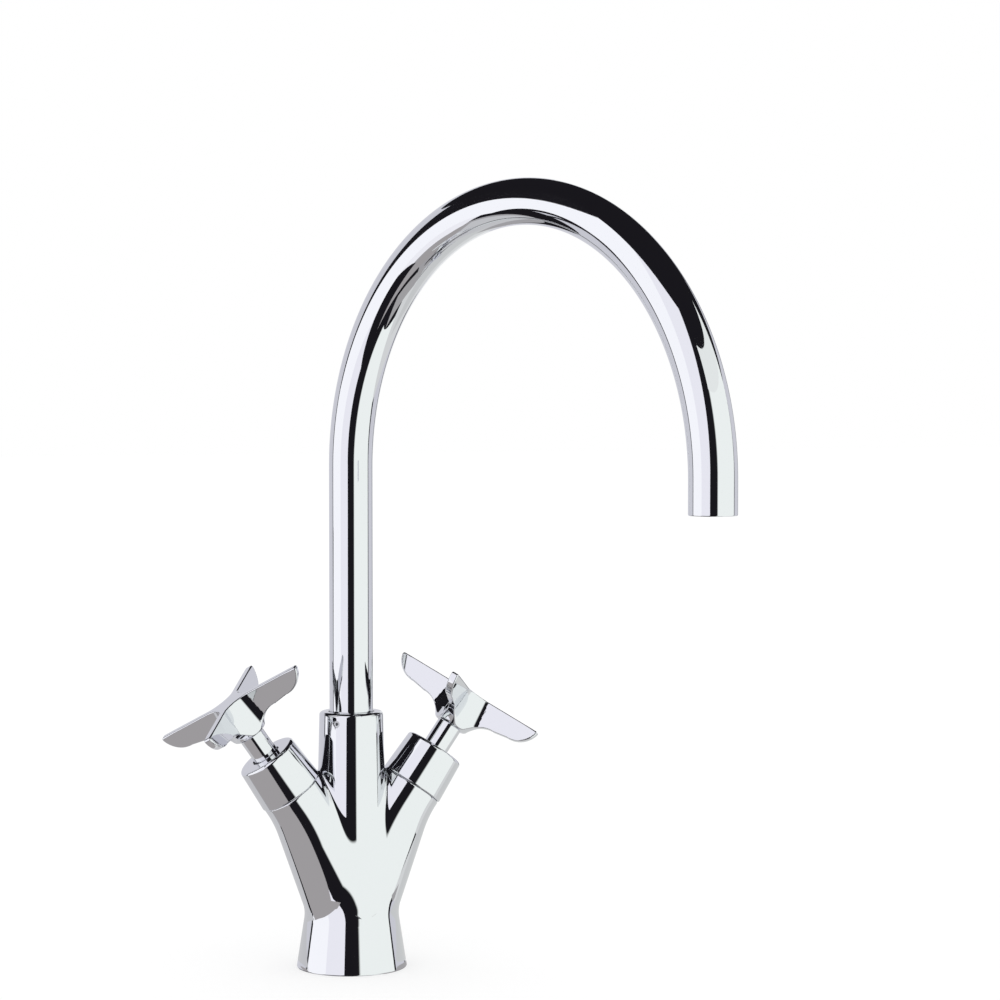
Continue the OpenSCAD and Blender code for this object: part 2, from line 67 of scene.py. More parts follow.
class Side(Enum):
    """The tap's two sides."""

    HOT = -1
    COLD = 1

    @property
    def label(self) -> str:
        """The side as node and piece names write it."""
        return self.name.lower()


class Slot(Enum):
    """The record's material slots."""

    CHROME = "chrome"
    BRASS = "brass"
    STEEL = "steel"
    RUBBER = "rubber"
    CERAMIC = "ceramic"
    PALE_PLASTIC = "pale_plastic"


# Distance fields


def smooth_min(a: Array, b: Array, blend: float | Array) -> Array:
    """Joins two solids with a soft valley between them.

    Args:
        a: Distances to the first solid, negative inside.
        b: Distances to the second solid.
        blend: Width of the soft zone, about 1.2 times the valley's radius.

    Returns:
        Distances to the joined solid.
    """
    near = np.clip(1.0 - np.abs(a - b) / blend, 0.0, None)
    return np.minimum(a, b) - near * near * blend / 4.0


def rounded_max(a: Array, b: Array, radius: float) -> Array:
    """Keeps what two solids share and rounds the edge where their faces meet.

    Args:
        a: Distances to the first solid, negative inside.
        b: Distances to the second solid.
        radius: Radius of the edge.

    Returns:
        Distances to the shared solid.
    """
    inner = np.minimum(np.maximum(a, b), -radius)
    return inner + np.hypot(np.maximum(a + radius, 0.0), np.maximum(b + radius, 0.0))


def slanted(r: Array, z: Array, low: tuple[float, float], high: tuple[float, float]) -> Array:
    """Distances to a cone whose side passes through two points.

    Args:
        r: Distances from the cone's axis.
        z: Heights along it.
        low: Radius and height of one point on the side.
        high: Radius and height of another point, above it.

    Returns:
        Distances to the side, negative towards the axis.
    """
    run, rise = high[0] - low[0], high[1] - low[1]
    return ((r - low[0]) * rise - (z - low[1]) * run) / math.hypot(run, rise)


def gradient(shape: Field, points: Array, step: float = 0.01) -> Array:
    """The slope of a field, which points straight out of its surface.

    Args:
        shape: The field.
        points: Where the slope is wanted, one row each.
        step: Half of the span that the slope is measured over.

    Returns:
        One slope per row.
    """
    slope = np.empty_like(points)
    for axis in range(3):
        shift = np.zeros(3)
        shift[axis] = step
        slope[:, axis] = (shape(points + shift) - shape(points - shift)) / (2.0 * step)
    return slope


def unit_rows(rows: Array) -> Array:
    """Each row scaled to a length of one."""
    return rows / np.maximum(np.linalg.norm(rows, axis=1, keepdims=True), LEAST)


def moved(points: Array, place: Matrix) -> Array:
    """Rows of points, carried by a matrix."""
    spot = np.array(place)
    return points @ spot[:3, :3].T + spot[:3, 3]


def grid_lines(stops: Sequence[float], spacings: Sequence[float]) -> Array:
    """Grid lines that are close together where a shape needs it.

    Args:
        stops: Limits of the stretches, in rising order.
        spacings: Wanted distance between lines in each stretch.

    Returns:
        The lines' places.
    """
    parts = [np.array([stops[0]])]
    for low, high, spacing in zip(stops[:-1], stops[1:], spacings):
        count = max(1, round((high - low) / spacing))
        parts.append(np.linspace(low, high, count + 1)[1:])
    return np.concatenate(parts)


def net_surface(shape: Field, lines: tuple[Array, Array, Array]) -> tuple[Array, Array]:
    """Meshes the surface of a field with one point per grid cell that the surface crosses.

    Args:
        shape: The field.
        lines: The grid's lines along x, y and z.

    Returns:
        The points and the four-sided faces, which look outwards.
    """
    sizes = tuple(len(line) for line in lines)
    values = np.empty(sizes)
    across = np.stack(np.meshgrid(lines[1], lines[2], indexing="ij"), -1).reshape(-1, 2)
    for i, x in enumerate(lines[0]):
        layer = np.column_stack((np.full(len(across), x), across))
        values[i] = shape(layer).reshape(sizes[1:])
    inside = values < 0.0
    count = np.zeros(tuple(n - 1 for n in sizes), np.int8)
    corners = [(i, j, k) for i in (0, 1) for j in (0, 1) for k in (0, 1)]
    for i, j, k in corners:
        count += inside[i:sizes[0] - 1 + i, j:sizes[1] - 1 + j, k:sizes[2] - 1 + k]
    mixed = (count > 0) & (count < 8)
    cells = np.argwhere(mixed)
    number = np.full(mixed.shape, -1, np.int64)
    number[mixed] = np.arange(len(cells))
    total, hits = np.zeros((len(cells), 3)), np.zeros((len(cells), 1))
    for axis in range(3):
        for corner in (c for c in corners if c[axis] == 0):
            start = cells + corner
            end = start.copy()
            end[:, axis] += 1
            a, b = values[tuple(start.T)], values[tuple(end.T)]
            crossed = (a < 0.0) != (b < 0.0)
            share = np.where(crossed, a / np.where(crossed, a - b, 1.0), 0.0)
            place = np.stack([lines[n][start[:, n]] for n in range(3)], 1)
            place[:, axis] += share * (lines[axis][end[:, axis]] - lines[axis][start[:, axis]])
            total += np.where(crossed[:, None], place, 0.0)
            hits += crossed[:, None]
    faces = [net_faces(inside, number, axis) for axis in range(3)]
    return settle(shape, total / hits), np.concatenate(faces)


def net_faces(inside: Array, number: Array, axis: int) -> Array:
    """The faces round the grid edges that run along one axis and cross the surface.

    Args:
        inside: Whether each grid point lies inside.
        number: Each cell's point number, or -1.
        axis: The edges' axis.

    Returns:
        Four point numbers per face.
    """
    order = (axis, (axis + 1) % 3, (axis + 2) % 3)
    within, cell = inside.transpose(order), number.transpose(order)
    low, high = within[:-1, 1:-1, 1:-1], within[1:, 1:-1, 1:-1]
    i, j, k = np.nonzero(low != high)
    around = [cell[i, j + a, k + b] for a, b in ((0, 0), (1, 0), (1, 1), (0, 1))]
    faces = np.stack(around, 1)
    leaving = low[i, j, k]
    faces[~leaving] = faces[~leaving][:, ::-1]
    return faces


def settle(shape: Field, points: Array, rounds: int = 6, reach: float = 0.3) -> Array:
    """Moves points onto a field's surface.

    Args:
        shape: The field.
        points: Points near the surface.
        rounds: How often each point is corrected.
        reach: Longest correction.

    Returns:
        The points on the surface.
    """
    for _ in range(rounds):
        slope = gradient(shape, points)
        move = -shape(points)[:, None] * slope / np.maximum((slope ** 2).sum(1, keepdims=True), LEAST)
        length = np.linalg.norm(move, axis=1, keepdims=True)
        points = points + move * np.minimum(1.0, reach / np.maximum(length, LEAST))
    return points


# Turned shapes


@dataclass(frozen=True)
class Corner:
    """A corner of a turned outline: radius and height, and the radius that rounds it."""

    r: float
    z: float
    round: float = 0.0


@dataclass(frozen=True)
class Span:
    """One short straight run of an outline, with its outward normals at both ends."""

    start: tuple[float, float]
    end: tuple[float, float]
    start_normal: tuple[float, float]
    end_normal: tuple[float, float]


def corner_arc(spots: Sequence[Array], radius: float, arc_step: float) -> list[tuple[Array, Array]]:
    """Rounds one corner of an outline.

    Args:
        spots: The corner before it, the corner itself and the corner after it.
        radius: The arc's radius.
        arc_step: Largest turn within one step of the arc.

    Returns:
        The arc's points, each with its outward normal.
    """
    behind, here, ahead = spots
    before = (here - behind) / np.linalg.norm(here - behind)
    after = (ahead - here) / np.linalg.norm(ahead - here)
    turn = math.atan2(before[0] * after[1] - before[1] * after[0], float(before @ after))
    bend = math.copysign(radius, turn)
    left = np.array((-before[1], before[0]))
    centre = here - before * radius * math.tan(abs(turn) / 2.0) + bend * left
    steps = max(2, math.ceil(math.degrees(abs(turn)) / arc_step))
    arc = []
    for step in range(steps + 1):
        cos, sin = math.cos(turn * step / steps), math.sin(turn * step / steps)
        outward = -np.array((left[0] * cos - left[1] * sin, left[0] * sin + left[1] * cos))
        arc.append((centre + bend * outward, outward))
    return arc


def outline_spans(corners: Sequence[Corner], closed: bool, arc_step: float = 10.0) -> list[Span]:
    """Turns corners into spans, with arcs at the rounded ones. The solid lies on the left.

    Args:
        corners: The outline's corners in order.
        closed: Whether the last corner joins the first.
        arc_step: Largest turn within one span of an arc.

    Returns:
        The spans in order.
    """
    points = [np.array((c.r, c.z)) for c in corners]
    total = len(points)
    arcs = []
    for i, corner in enumerate(corners):
        open_end = not closed and i in (0, total - 1)
        if corner.round == 0.0 or open_end:
            arcs.append([(points[i], np.zeros(2))])
        else:
            spots = (points[i - 1], points[i], points[(i + 1) % total])
            arcs.append(corner_arc(spots, corner.round, arc_step))
    spans = []
    for i in range(total if closed else total - 1):
        arc, following = arcs[i], arcs[(i + 1) % total]
        for (a, normal_a), (b, normal_b) in zip(arc[:-1], arc[1:]):
            spans.append(Span(tuple(a), tuple(b), tuple(normal_a), tuple(normal_b)))
        start, end = arc[-1][0], following[0][0]
        leg = end - start
        length = float(np.linalg.norm(leg))
        if length > TINY:
            flat = (leg[1] / length, -leg[0] / length)
            spans.append(Span(tuple(start), tuple(end), flat, flat))
    return spans


@dataclass
class Shell:
    """A mesh under construction: points, faces and each face corner's normal."""

    points: list[Array] = field(default_factory=list)
    faces: list[tuple[int, ...]] = field(default_factory=list)
    normals: list[Array] = field(default_factory=list)

    def mesh(self, name: str, place: Matrix) -> bpy.types.Mesh:
        """Makes the Blender mesh.

        Args:
            name: The mesh's name.
            place: Where the shape's own frame lies in the tap's frame, in millimetres.

        Returns:
            The mesh, in metres.
        """
        mesh = bpy.data.meshes.new(name)
        mesh.from_pydata((moved(np.array(self.points), place) * MM).tolist(), [], self.faces)
        mesh.polygons.foreach_set("use_smooth", [True] * len(mesh.polygons))
        spin = np.array(place.to_3x3())
        mesh.normals_split_custom_set((np.array(self.normals) @ spin.T).tolist())
        return mesh


@dataclass(frozen=True)
class Station:
    """A place on a route: its centre, the two directions across the route and the one along it."""

    centre: Array
    across: Array
    beside: Array
    along: Array

    def outwards(self, angle: float) -> Array:
        """The direction straight out of the route at an angle round it, in radians."""
        return self.across * math.cos(angle) + self.beside * math.sin(angle)


Route = Callable[[float], Station]


def straight(z: float) -> Station:
    """The station at a height on the own z axis of a plain turned piece."""
    return Station(np.array((0.0, 0.0, z)), *np.eye(3))


def turned(spans: Sequence[Span], segments: int, route: Route = straight) -> Shell:
    """Turns spans round a straight or bent axis.

    Args:
        spans: The outline. Its heights are lengths along the route.
        segments: Steps round the axis.
        route: Gives the station at a length.

    Returns:
        The shell.
    """
    shell = Shell()
    angles = [2.0 * math.pi * n / segments for n in range(segments)]
    rings: dict[tuple[float, float], list[int]] = {}

    def ring(r: float, length: float) -> list[int]:
        """Gives a ring of points, and makes it when it isn't there yet.

        Args:
            r: The ring's radius.
            length: Its place along the route.

        Returns:
            A point number for each angle, which is one and the same on the axis.
        """
        key = (round(r, DECIMALS), round(length, DECIMALS))
        if key not in rings:
            here, first = route(length), len(shell.points)
            if r < TINY:
                shell.points.append(here.centre)
                rings[key] = [first] * segments
            else:
                shell.points.extend(here.centre + r * here.outwards(angle) for angle in angles)
                rings[key] = list(range(first, first + segments))
        return rings[key]

    for span in spans:
        low, high = ring(*span.start), ring(*span.end)
        ends = ((route(span.start[1]), span.start_normal), (route(span.end[1]), span.end_normal))
        for n in range(segments):
            after = (n + 1) % segments
            corners = ((low[n], n, 0), (low[after], after, 0), (high[after], after, 1), (high[n], n, 1))
            used: dict[int, tuple[int, int]] = {}
            for point, turn, end in corners:
                used.setdefault(point, (turn, end))
            shell.faces.append(tuple(used))
            for turn, end in used.values():
                here, normal = ends[end]
                shell.normals.append(here.outwards(angles[turn]) * normal[0] + here.along * normal[1])
    return shell


# How far short of a cut a face's middle may lie and still be cut, and how near counts as on the cut
CUT_REACH = 2.0
CUT_WELD = 1e-5


def carry_on(cut: bmesh.types.BMesh, place: Matrix, corners: Sequence[Corner]) -> None:
    """Cuts a skin square to an axis and carries it on as a turned surface with a closed end.

    Args:
        cut: The skin, in millimetres.
        place: The axis: its own z axis points out of what is kept.
        corners: The outline, from the cut to the axis.
    """
    start, back = corners[0], place.inverted()
    faces = [f for f in cut.faces if (back @ f.calc_center_median()).z > start.z - CUT_REACH]
    parts = list({e for f in faces for e in f.edges} | {v for f in faces for v in f.verts}) + faces
    made = bmesh.ops.bisect_plane(
        cut, geom=parts, dist=CUT_WELD, plane_co=place @ Vector((0, 0, start.z)),
        plane_no=place.to_3x3() @ Vector((0, 0, 1)), clear_outer=True,
    )

    def angle_of(point: bmesh.types.BMVert) -> float:
        """The angle of a point round the axis, in radians."""
        spot = back @ point.co
        return math.atan2(spot.y, spot.x)

    def at(r: float, angle: float, z: float) -> Vector:
        """The place at a radius, angle and height on the axis."""
        return place @ Vector((r * math.cos(angle), r * math.sin(angle), z))

    ring = sorted((v for v in made["geom_cut"] if isinstance(v, bmesh.types.BMVert)), key=angle_of)
    angles = [angle_of(v) for v in ring]
    for v, angle in zip(ring, angles):
        v.co = at(start.r, angle, start.z)
    for span in outline_spans(corners, False):
        r, z = span.end
        if r < TINY:
            following = [cut.verts.new(at(0.0, 0.0, z))] * len(angles)
        else:
            following = [cut.verts.new(at(r, angle, z)) for angle in angles]
        for n in range(len(angles)):
            after = (n + 1) % len(angles)
            loop = (ring[n], ring[after], following[after], following[n])
            cut.faces.new(list(dict.fromkeys(loop)))
        ring = following


# Making pieces


def round_bar(radius: float, start: Vector, end: Vector, segments: int = 64) -> bpy.types.Object:
    """A closed round bar between two points, used as a drill.

    Args:
        radius: The bar's radius.
        start: Middle of one end, in millimetres.
        end: Middle of the other end.
        segments: Steps round it.

    Returns:
        The bar, in metres.
    """
    bar = bmesh.new()
    way = end - start
    place = Matrix.Translation((start + end) / 2) @ way.to_track_quat("Z", "Y").to_matrix().to_4x4()
    bmesh.ops.create_cone(
        bar, cap_ends=True, segments=segments, radius1=radius, radius2=radius, depth=way.length, matrix=place
    )
    bar.transform(Matrix.Scale(MM, 4))
    mesh = bpy.data.meshes.new("drill")
    bar.to_mesh(mesh)
    bar.free()
    tool = bpy.data.objects.new("drill", mesh)
    bpy.context.scene.collection.objects.link(tool)
    return tool


def drill(mesh: bpy.types.Mesh, bars: Iterable[bpy.types.Object]) -> bpy.types.Mesh:
    """Takes bars out of a closed mesh, and removes the bars.

    Args:
        mesh: The mesh to drill.
        bars: The drills.

    Returns:
        The drilled mesh.
    """
    blank = bpy.data.objects.new("blank", mesh)
    bpy.context.scene.collection.objects.link(blank)
    tools = list(bars)
    for tool in tools:
        step = blank.modifiers.new("drill", "BOOLEAN")
        step.operation = "DIFFERENCE"
        step.solver = "MANIFOLD"
        step.object = tool
    graph = bpy.context.evaluated_depsgraph_get()
    drilled = bpy.data.meshes.new_from_object(blank.evaluated_get(graph))
    for extra in [blank, *tools]:
        spare = extra.data
        bpy.data.objects.remove(extra)
        bpy.data.meshes.remove(spare)
    return drilled


# How far off the skin a point may lie and still take its normal, the step that measures it, how well
# it has to agree with the face, and the angle in degrees from which an edge of other faces is sharp
SKIN_TOLERANCE = 0.02
NORMAL_STEP = 0.004
NORMAL_AGREEMENT = 0.6
SHARP_ANGLE = 30.0


def read(items: bpy.types.bpy_prop_collection, name: str, kind: type, width: int = 1) -> Array:
    """Reads one attribute of a mesh's points, faces or corners.

    Args:
        items: The points, faces or corners.
        name: The attribute's name.
        kind: The type of its numbers.
        width: How many numbers each item has.

    Returns:
        One number or one row per item.
    """
    values = np.empty(len(items) * width, kind)
    items.foreach_get(name, values)
    return values if width == 1 else values.reshape(-1, width)


def shade_from_field(mesh: bpy.types.Mesh, shape: Field, place: Matrix) -> None:
    """Gives the faces that lie on a field's surface its exact normals, and leaves the others crisp.

    Args:
        mesh: The mesh, in metres.
        shape: The field, in its own frame and in millimetres.
        place: Where that frame lies in the tap's frame, in millimetres.
    """
    local = moved(read(mesh.vertices, "co", float, 3) / MM, place.inverted())
    on_skin = np.abs(shape(local)) < SKIN_TOLERANCE
    normals = unit_rows(gradient(shape, local, NORMAL_STEP)) @ np.array(place.to_3x3()).T
    face_normals = read(mesh.polygons, "normal", float, 3)
    counts = read(mesh.polygons, "loop_total", int)
    corners = read(mesh.loops, "vertex_index", int)
    owner = np.repeat(np.arange(len(counts)), counts)
    agrees = (normals[corners] * face_normals[owner]).sum(1) > NORMAL_AGREEMENT
    good = np.logical_and.reduceat(on_skin[corners] & agrees, np.concatenate(([0], np.cumsum(counts)[:-1])))
    mesh.polygons.foreach_set("use_smooth", np.ones(len(counts), bool))
    mesh.set_sharp_from_angle(angle=math.radians(SHARP_ANGLE))
    chosen = np.where(good[owner][:, None], normals[corners], 0.0)
    mesh.normals_split_custom_set(chosen.tolist())


def add_piece(name: str, mesh: bpy.types.Mesh, look: bpy.types.Material, body: str, node: str) -> None:
    """Puts a chrome piece in the scene in place of the node that it stands for.

    Args:
        name: The piece's name.
        mesh: Its mesh, in metres.
        look: Its material.
        body: The body that it rides on.
        node: The node that it replaces.
    """
    piece = bpy.data.objects.new(name, mesh)
    bpy.context.scene.collection.objects.link(piece)
    mesh.materials.clear()
    mesh.materials.append(look)
    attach(piece, body)
    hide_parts(node)
    LOG.info("%s: %d faces, stands for %s", name, len(mesh.polygons), node)


# Finishes


class Recipe:
    """A new material and short ways to add and join its nodes."""

    def __init__(self, name: str) -> None:
        """Starts an empty material.

        Args:
            name: The material's name.
        """
        self.material = bpy.data.materials.new(name)
        self.material.use_nodes = True
        self.nodes = self.material.node_tree.nodes
        self.links = self.material.node_tree.links
        self.nodes.clear()
        self.output = self.nodes.new("ShaderNodeOutputMaterial")

    def add(self, kind: str, **values: object) -> bpy.types.Node:
        """Adds a node.

        Args:
            kind: The node's type without its ShaderNode prefix.
            **values: Socket values, by socket name with spaces as underscores.

        Returns:
            The node.
        """
        node = self.nodes.new("ShaderNode" + kind)
        for key, value in values.items():
            node.inputs[key.replace("_", " ")].default_value = value
        return node

    def join(self, start: bpy.types.NodeSocket, end: bpy.types.NodeSocket) -> None:
        """Links two sockets."""
        self.links.new(start, end)

    def noise(self, scale: float, detail: float) -> bpy.types.NodeSocket:
        """Adds a noise in the object's own metres.

        Args:
            scale: Features per metre.
            detail: Layers of finer noise.

        Returns:
            The noise's value.
        """
        place = self.nodes.new("ShaderNodeTexCoord")
        texture = self.add("TexNoise", Scale=scale, Detail=detail)
        self.join(place.outputs["Object"], texture.inputs["Vector"])
        return texture.outputs["Fac"]

    def span(self, value: bpy.types.NodeSocket, low: float, high: float) -> bpy.types.NodeSocket:
        """Maps a value from 0..1 to a range.

        Args:
            value: The value's socket.
            low: What 0 becomes.
            high: What 1 becomes.

        Returns:
            The mapped value.
        """
        mapping = self.add("MapRange", To_Min=low, To_Max=high)
        self.join(value, mapping.inputs["Value"])
        return mapping.outputs["Result"]


@dataclass(frozen=True)
class Finish:
    """What every finish has: its colour, how rough it is and how even its surface is."""

    name: str
    color: Color
    shade: float
    smoothest: float
    roughest: float
    grain: float
    relief_height: float

    def mottle(self, recipe: Recipe, shader: bpy.types.Node, grain: bpy.types.NodeSocket,
               relief: bpy.types.NodeSocket) -> bpy.types.Material:
        """Gives a shader a slight unevenness of colour, gloss and surface.

        Args:
            recipe: The material under construction.
            shader: Its shader.
            grain: What varies its colour and its gloss.
            relief: What raises its surface.

        Returns:
            The material.
        """
        tint = recipe.nodes.new("ShaderNodeMix")
        tint.data_type = "RGBA"
        tint.inputs["A"].default_value = (*self.color, 1.0)
        tint.inputs["B"].default_value = (*(c * self.shade for c in self.color), 1.0)
        recipe.join(grain, tint.inputs["Factor"])
        recipe.join(tint.outputs["Result"], shader.inputs["Base Color"])
        recipe.join(recipe.span(grain, self.smoothest, self.roughest), shader.inputs["Roughness"])
        bump = recipe.add("Bump", Strength=1.0, Distance=self.relief_height)
        recipe.join(relief, bump.inputs["Height"])
        recipe.join(bump.outputs["Normal"], shader.inputs["Normal"])
        recipe.join(shader.outputs["BSDF"], recipe.output.inputs["Surface"])
        return recipe.material


@dataclass(frozen=True)
class MetalFinish(Finish):
    """A metal, with a relief of its own scale."""

    relief: float = 2500.0
    grain_detail: float = 3.0
    relief_detail: float = 1.0

    def material(self) -> bpy.types.Material:
        """Makes the metal.

        Returns:
            The material.
        """
        recipe = Recipe(self.name)
        shader = recipe.add("BsdfPrincipled", Metallic=1.0)
        grain = recipe.noise(self.grain, self.grain_detail)
        return self.mottle(recipe, shader, grain, recipe.noise(self.relief, self.relief_detail))


@dataclass(frozen=True)
class PlainFinish(Finish):
    """Rubber, ceramic or plastic, with the relief of its grain."""

    sheen: float = 0.0
    grain_detail: float = 4.0

    def material(self) -> bpy.types.Material:
        """Makes the rubber, ceramic or plastic.

        Returns:
            The material.
        """
        recipe = Recipe(self.name)
        shader = recipe.add("BsdfPrincipled", Sheen_Weight=self.sheen)
        grain = recipe.noise(self.grain, self.grain_detail)
        return self.mottle(recipe, shader, grain, grain)


FINISHES: dict[Slot, MetalFinish | PlainFinish] = {
    Slot.CHROME: MetalFinish("polished_chrome", (0.80, 0.81, 0.84), 0.985, 0.02, 0.045, 40.0, 1.5e-6, 90.0),
    Slot.BRASS: MetalFinish("turned_brass", (0.80, 0.66, 0.36), 0.85, 0.18, 0.32, 900.0, 4e-6),
    Slot.STEEL: MetalFinish("bright_steel", (0.62, 0.63, 0.65), 0.9, 0.16, 0.28, 900.0, 3e-6),
    Slot.RUBBER: PlainFinish("black_rubber", (0.05, 0.05, 0.055), 0.7, 0.5, 0.7, 2200.0, 8e-6, 0.1),
    Slot.CERAMIC: PlainFinish("lapped_ceramic", (0.93, 0.92, 0.88), 0.96, 0.12, 0.2, 1500.0, 1e-6),
    Slot.PALE_PLASTIC: PlainFinish("moulded_plastic", (0.86, 0.87, 0.86), 0.95, 0.35, 0.5, 1800.0, 4e-6),
}


# The tap


@dataclass(frozen=True)
class ArmFrame:
    """Where the two arms of the body lie."""

    tilt: float = 35.0
    root_h: float = 39.0
    length: float = 48.0

    def place(self, side: Side, out: float = 0.0) -> Matrix:
        """The frame on an arm's axis, with +Z pointing out of the arm.

        Args:
            side: Which arm.
            out: Distance of the frame from the arm's end face.

        Returns:
            The frame, in millimetres.
        """
        spin = Matrix.Rotation(side.value * math.radians(self.tilt), 4, "Y")
        return Matrix.Translation((0, 0, self.root_h)) @ spin @ Matrix.Translation((0, 0, self.length + out))

    def local(self, points: Array, side: Side) -> tuple[Array, Array]:
        """Coordinates on an arm's axis.

        Args:
            points: Points in the tap's frame.
            side: Which arm.

        Returns:
            The distances from the axis and the lengths along it, from where the axes cross.
        """
        angle = math.radians(self.tilt)
        x, z = points[:, 0] * side.value, points[:, 2] - self.root_h
        along = x * math.sin(angle) + z * math.cos(angle)
        off = x * math.cos(angle) - z * math.sin(angle)
        return np.hypot(off, points[:, 1]), along


ARMS = ArmFrame()

# How far a drill starts outside the face that it enters
OVERRUN = 1.0


@dataclass
class MixerBody:
    """The cast body: flared base, waist, neck and two arms that melt into each other."""

    # Base, waist and shoulder
    base_d: float = 48.0
    base_edge: float = 0.6
    waist_d: float = 40.5
    waist_h: float = 24.5
    waist_blend: float = 1.8
    shoulder_r: float = 19.4
    shoulder_h: float = 30.0
    shoulder_top_h: float = 43.0
    shoulder_inset: float = 1.0
    shoulder_blend: float = 1.5

    # Neck
    body_h: float = 112.0
    neck_d: float = 27.8
    neck_foot_d: float = 32.0
    neck_edge: float = 1.6
    neck_bore_d: float = 20.0
    neck_bore_floor: float = 79.0
    bore_edge: float = 0.3
    neck_blend: float = 3.0

    # Arms, the valves' bores in them, and the fork that they make
    arm_d: float = 28.0
    arm_start: float = 12.0
    arm_straight: float = 7.5
    arm_edge: float = 0.8
    root_overlap: float = 5.0
    valve_bore_d: float = 20.7
    valve_bore_segments: int = 128
    seat_depth: float = 23.0
    pocket_d: float = 9.0
    pocket_segments: int = 96
    pocket_depth: float = 5.0
    arm_blend: float = 1.5
    fork_blend: float = 3.2
    least_blend: float = 0.3
    blend_start: float = 4.0
    blend_rise: float = 25.5

    # Underside and waterways
    recess_d: float = 32.0
    recess_depth: float = 4.0
    seal_outer_d: float = 43.0
    seal_w: float = 3.0
    seal_t: float = 1.6
    inlet_x: float = 9.0
    inlet_d: float = 9.0
    inlet_len: float = 12.0
    supply_d: float = 7.0
    stud_y: float = 10.5
    stud_d: float = 6.8
    stud_len: float = 14.0

    # Hole of the spout's retaining screw
    grub_z: float = 107.5
    grub_angle: float = -135.0
    grub_hole_d: float = 3.1

    # Limits and cells of the net
    net_foot: float = 7.5
    net_head: float = 5.0
    net_margin: float = 2.0
    fine_band: float = 12.0
    cell: float = 0.55
    fine_cell: float = 0.35

    def arm_root(self, points: Array, side: Side) -> Array:
        """Distances to the cone that widens an arm down to the waist.

        Args:
            points: Points in the tap's frame.
            side: Which arm.

        Returns:
            The distances.
        """
        tilt = math.radians(ARMS.tilt)
        low = ARMS.length - self.arm_straight
        outer_x = low * math.sin(tilt) + self.arm_d / 2 * math.cos(tilt)
        outer_z = ARMS.root_h + low * math.cos(tilt) - self.arm_d / 2 * math.sin(tilt) - self.waist_h
        end_x = ARMS.length * math.sin(tilt)
        end_z = ARMS.root_h + ARMS.length * math.cos(tilt) - self.waist_h
        lean = math.atan2(end_x, end_z)
        sin, cos = math.sin(lean), math.cos(lean)
        foot = self.waist_d / 2
        start = (foot * cos, foot * sin)
        stop = (outer_x * cos - outer_z * sin, outer_x * sin + outer_z * cos)
        x, z = points[:, 0] * side.value, points[:, 2] - self.waist_h
        along, off = x * sin + z * cos, x * cos - z * sin
        cone = slanted(np.hypot(off, points[:, 1]), along, start, stop)
        return np.maximum(np.maximum(cone, along - stop[1] - self.root_overlap), -along)

    def skin(self, points: Array) -> Array:
        """Distances to the body's outside.

        Args:
            points: Points in the tap's frame.

        Returns:
            The distances, negative inside.
        """
        r, z = np.hypot(points[:, 0], points[:, 1]), points[:, 2]
        neck = slanted(r, z, (self.neck_foot_d / 2, self.waist_h), (self.neck_d / 2, self.body_h))
        flare = slanted(r, z, (self.base_d / 2, self.base_edge), (self.waist_d / 2, self.waist_h))
        shoulder_top = (self.neck_foot_d / 2 - self.shoulder_inset, self.shoulder_top_h)
        shoulder = slanted(r, z, (self.shoulder_r, self.shoulder_h), shoulder_top)
        base = -smooth_min(-flare, -shoulder, self.shoulder_blend)
        middle = smooth_min(neck, base, self.neck_blend)
        middle = rounded_max(middle, z - self.body_h, self.neck_edge)
        arms = []
        for side in Side:
            # A plain barrel at the end, and the cone that carries it down to the waist
            off, along = ARMS.local(points, side)
            barrel = rounded_max(off - self.arm_d / 2, along - ARMS.length, self.arm_edge)
            barrel = np.maximum(barrel, self.arm_start - along)
            arms.append(smooth_min(barrel, self.arm_root(points, side), self.arm_blend))

        # The valleys between arms, neck and waist are tight at the waist and soft in the fork
        above = np.clip((z - self.waist_h - self.blend_start) / self.blend_rise, 0.0, 1.0)
        fork = smooth_min(*arms, self.least_blend + (self.fork_blend - self.least_blend) * above)
        blend = self.waist_blend + (self.fork_blend - self.waist_blend) * above
        return rounded_max(smooth_min(fork, middle, blend), -z, self.base_edge)

    def build(self) -> bpy.types.Mesh:
        """Makes the body's mesh: a net over the blended middle, a turned neck and base, and drilled ways.

        Returns:
            The mesh, in metres.
        """
        low, high = self.waist_h - self.net_foot, self.body_h - self.net_head
        reach_x = ARMS.place(Side.COLD).translation.x + self.arm_d / 2
        reach_y = self.base_d / 2 + self.net_margin
        across = grid_lines((-reach_x, reach_x), (self.cell,))
        deep = grid_lines((-reach_y, reach_y), (self.cell,))
        levels = (low - self.net_margin, self.waist_h + self.fine_band, high + self.net_margin)
        up = grid_lines(levels, (self.fine_cell, self.cell))
        points, faces = net_surface(self.skin, (across, deep, up))
        blank = bpy.data.meshes.new("mixer_body_blank")
        blank.from_pydata(points.tolist(), [], faces.tolist())
        cut = bmesh.new()
        cut.from_mesh(blank)
        self.turn_neck(cut, high)
        self.turn_base(cut, low)
        bmesh.ops.recalc_face_normals(cut, faces=cut.faces)
        cut.transform(Matrix.Scale(MM, 4))
        cut.to_mesh(blank)
        cut.free()
        mesh = drill(blank, self.drills())
        shade_from_field(mesh, self.skin, Matrix.Identity(4))
        return mesh

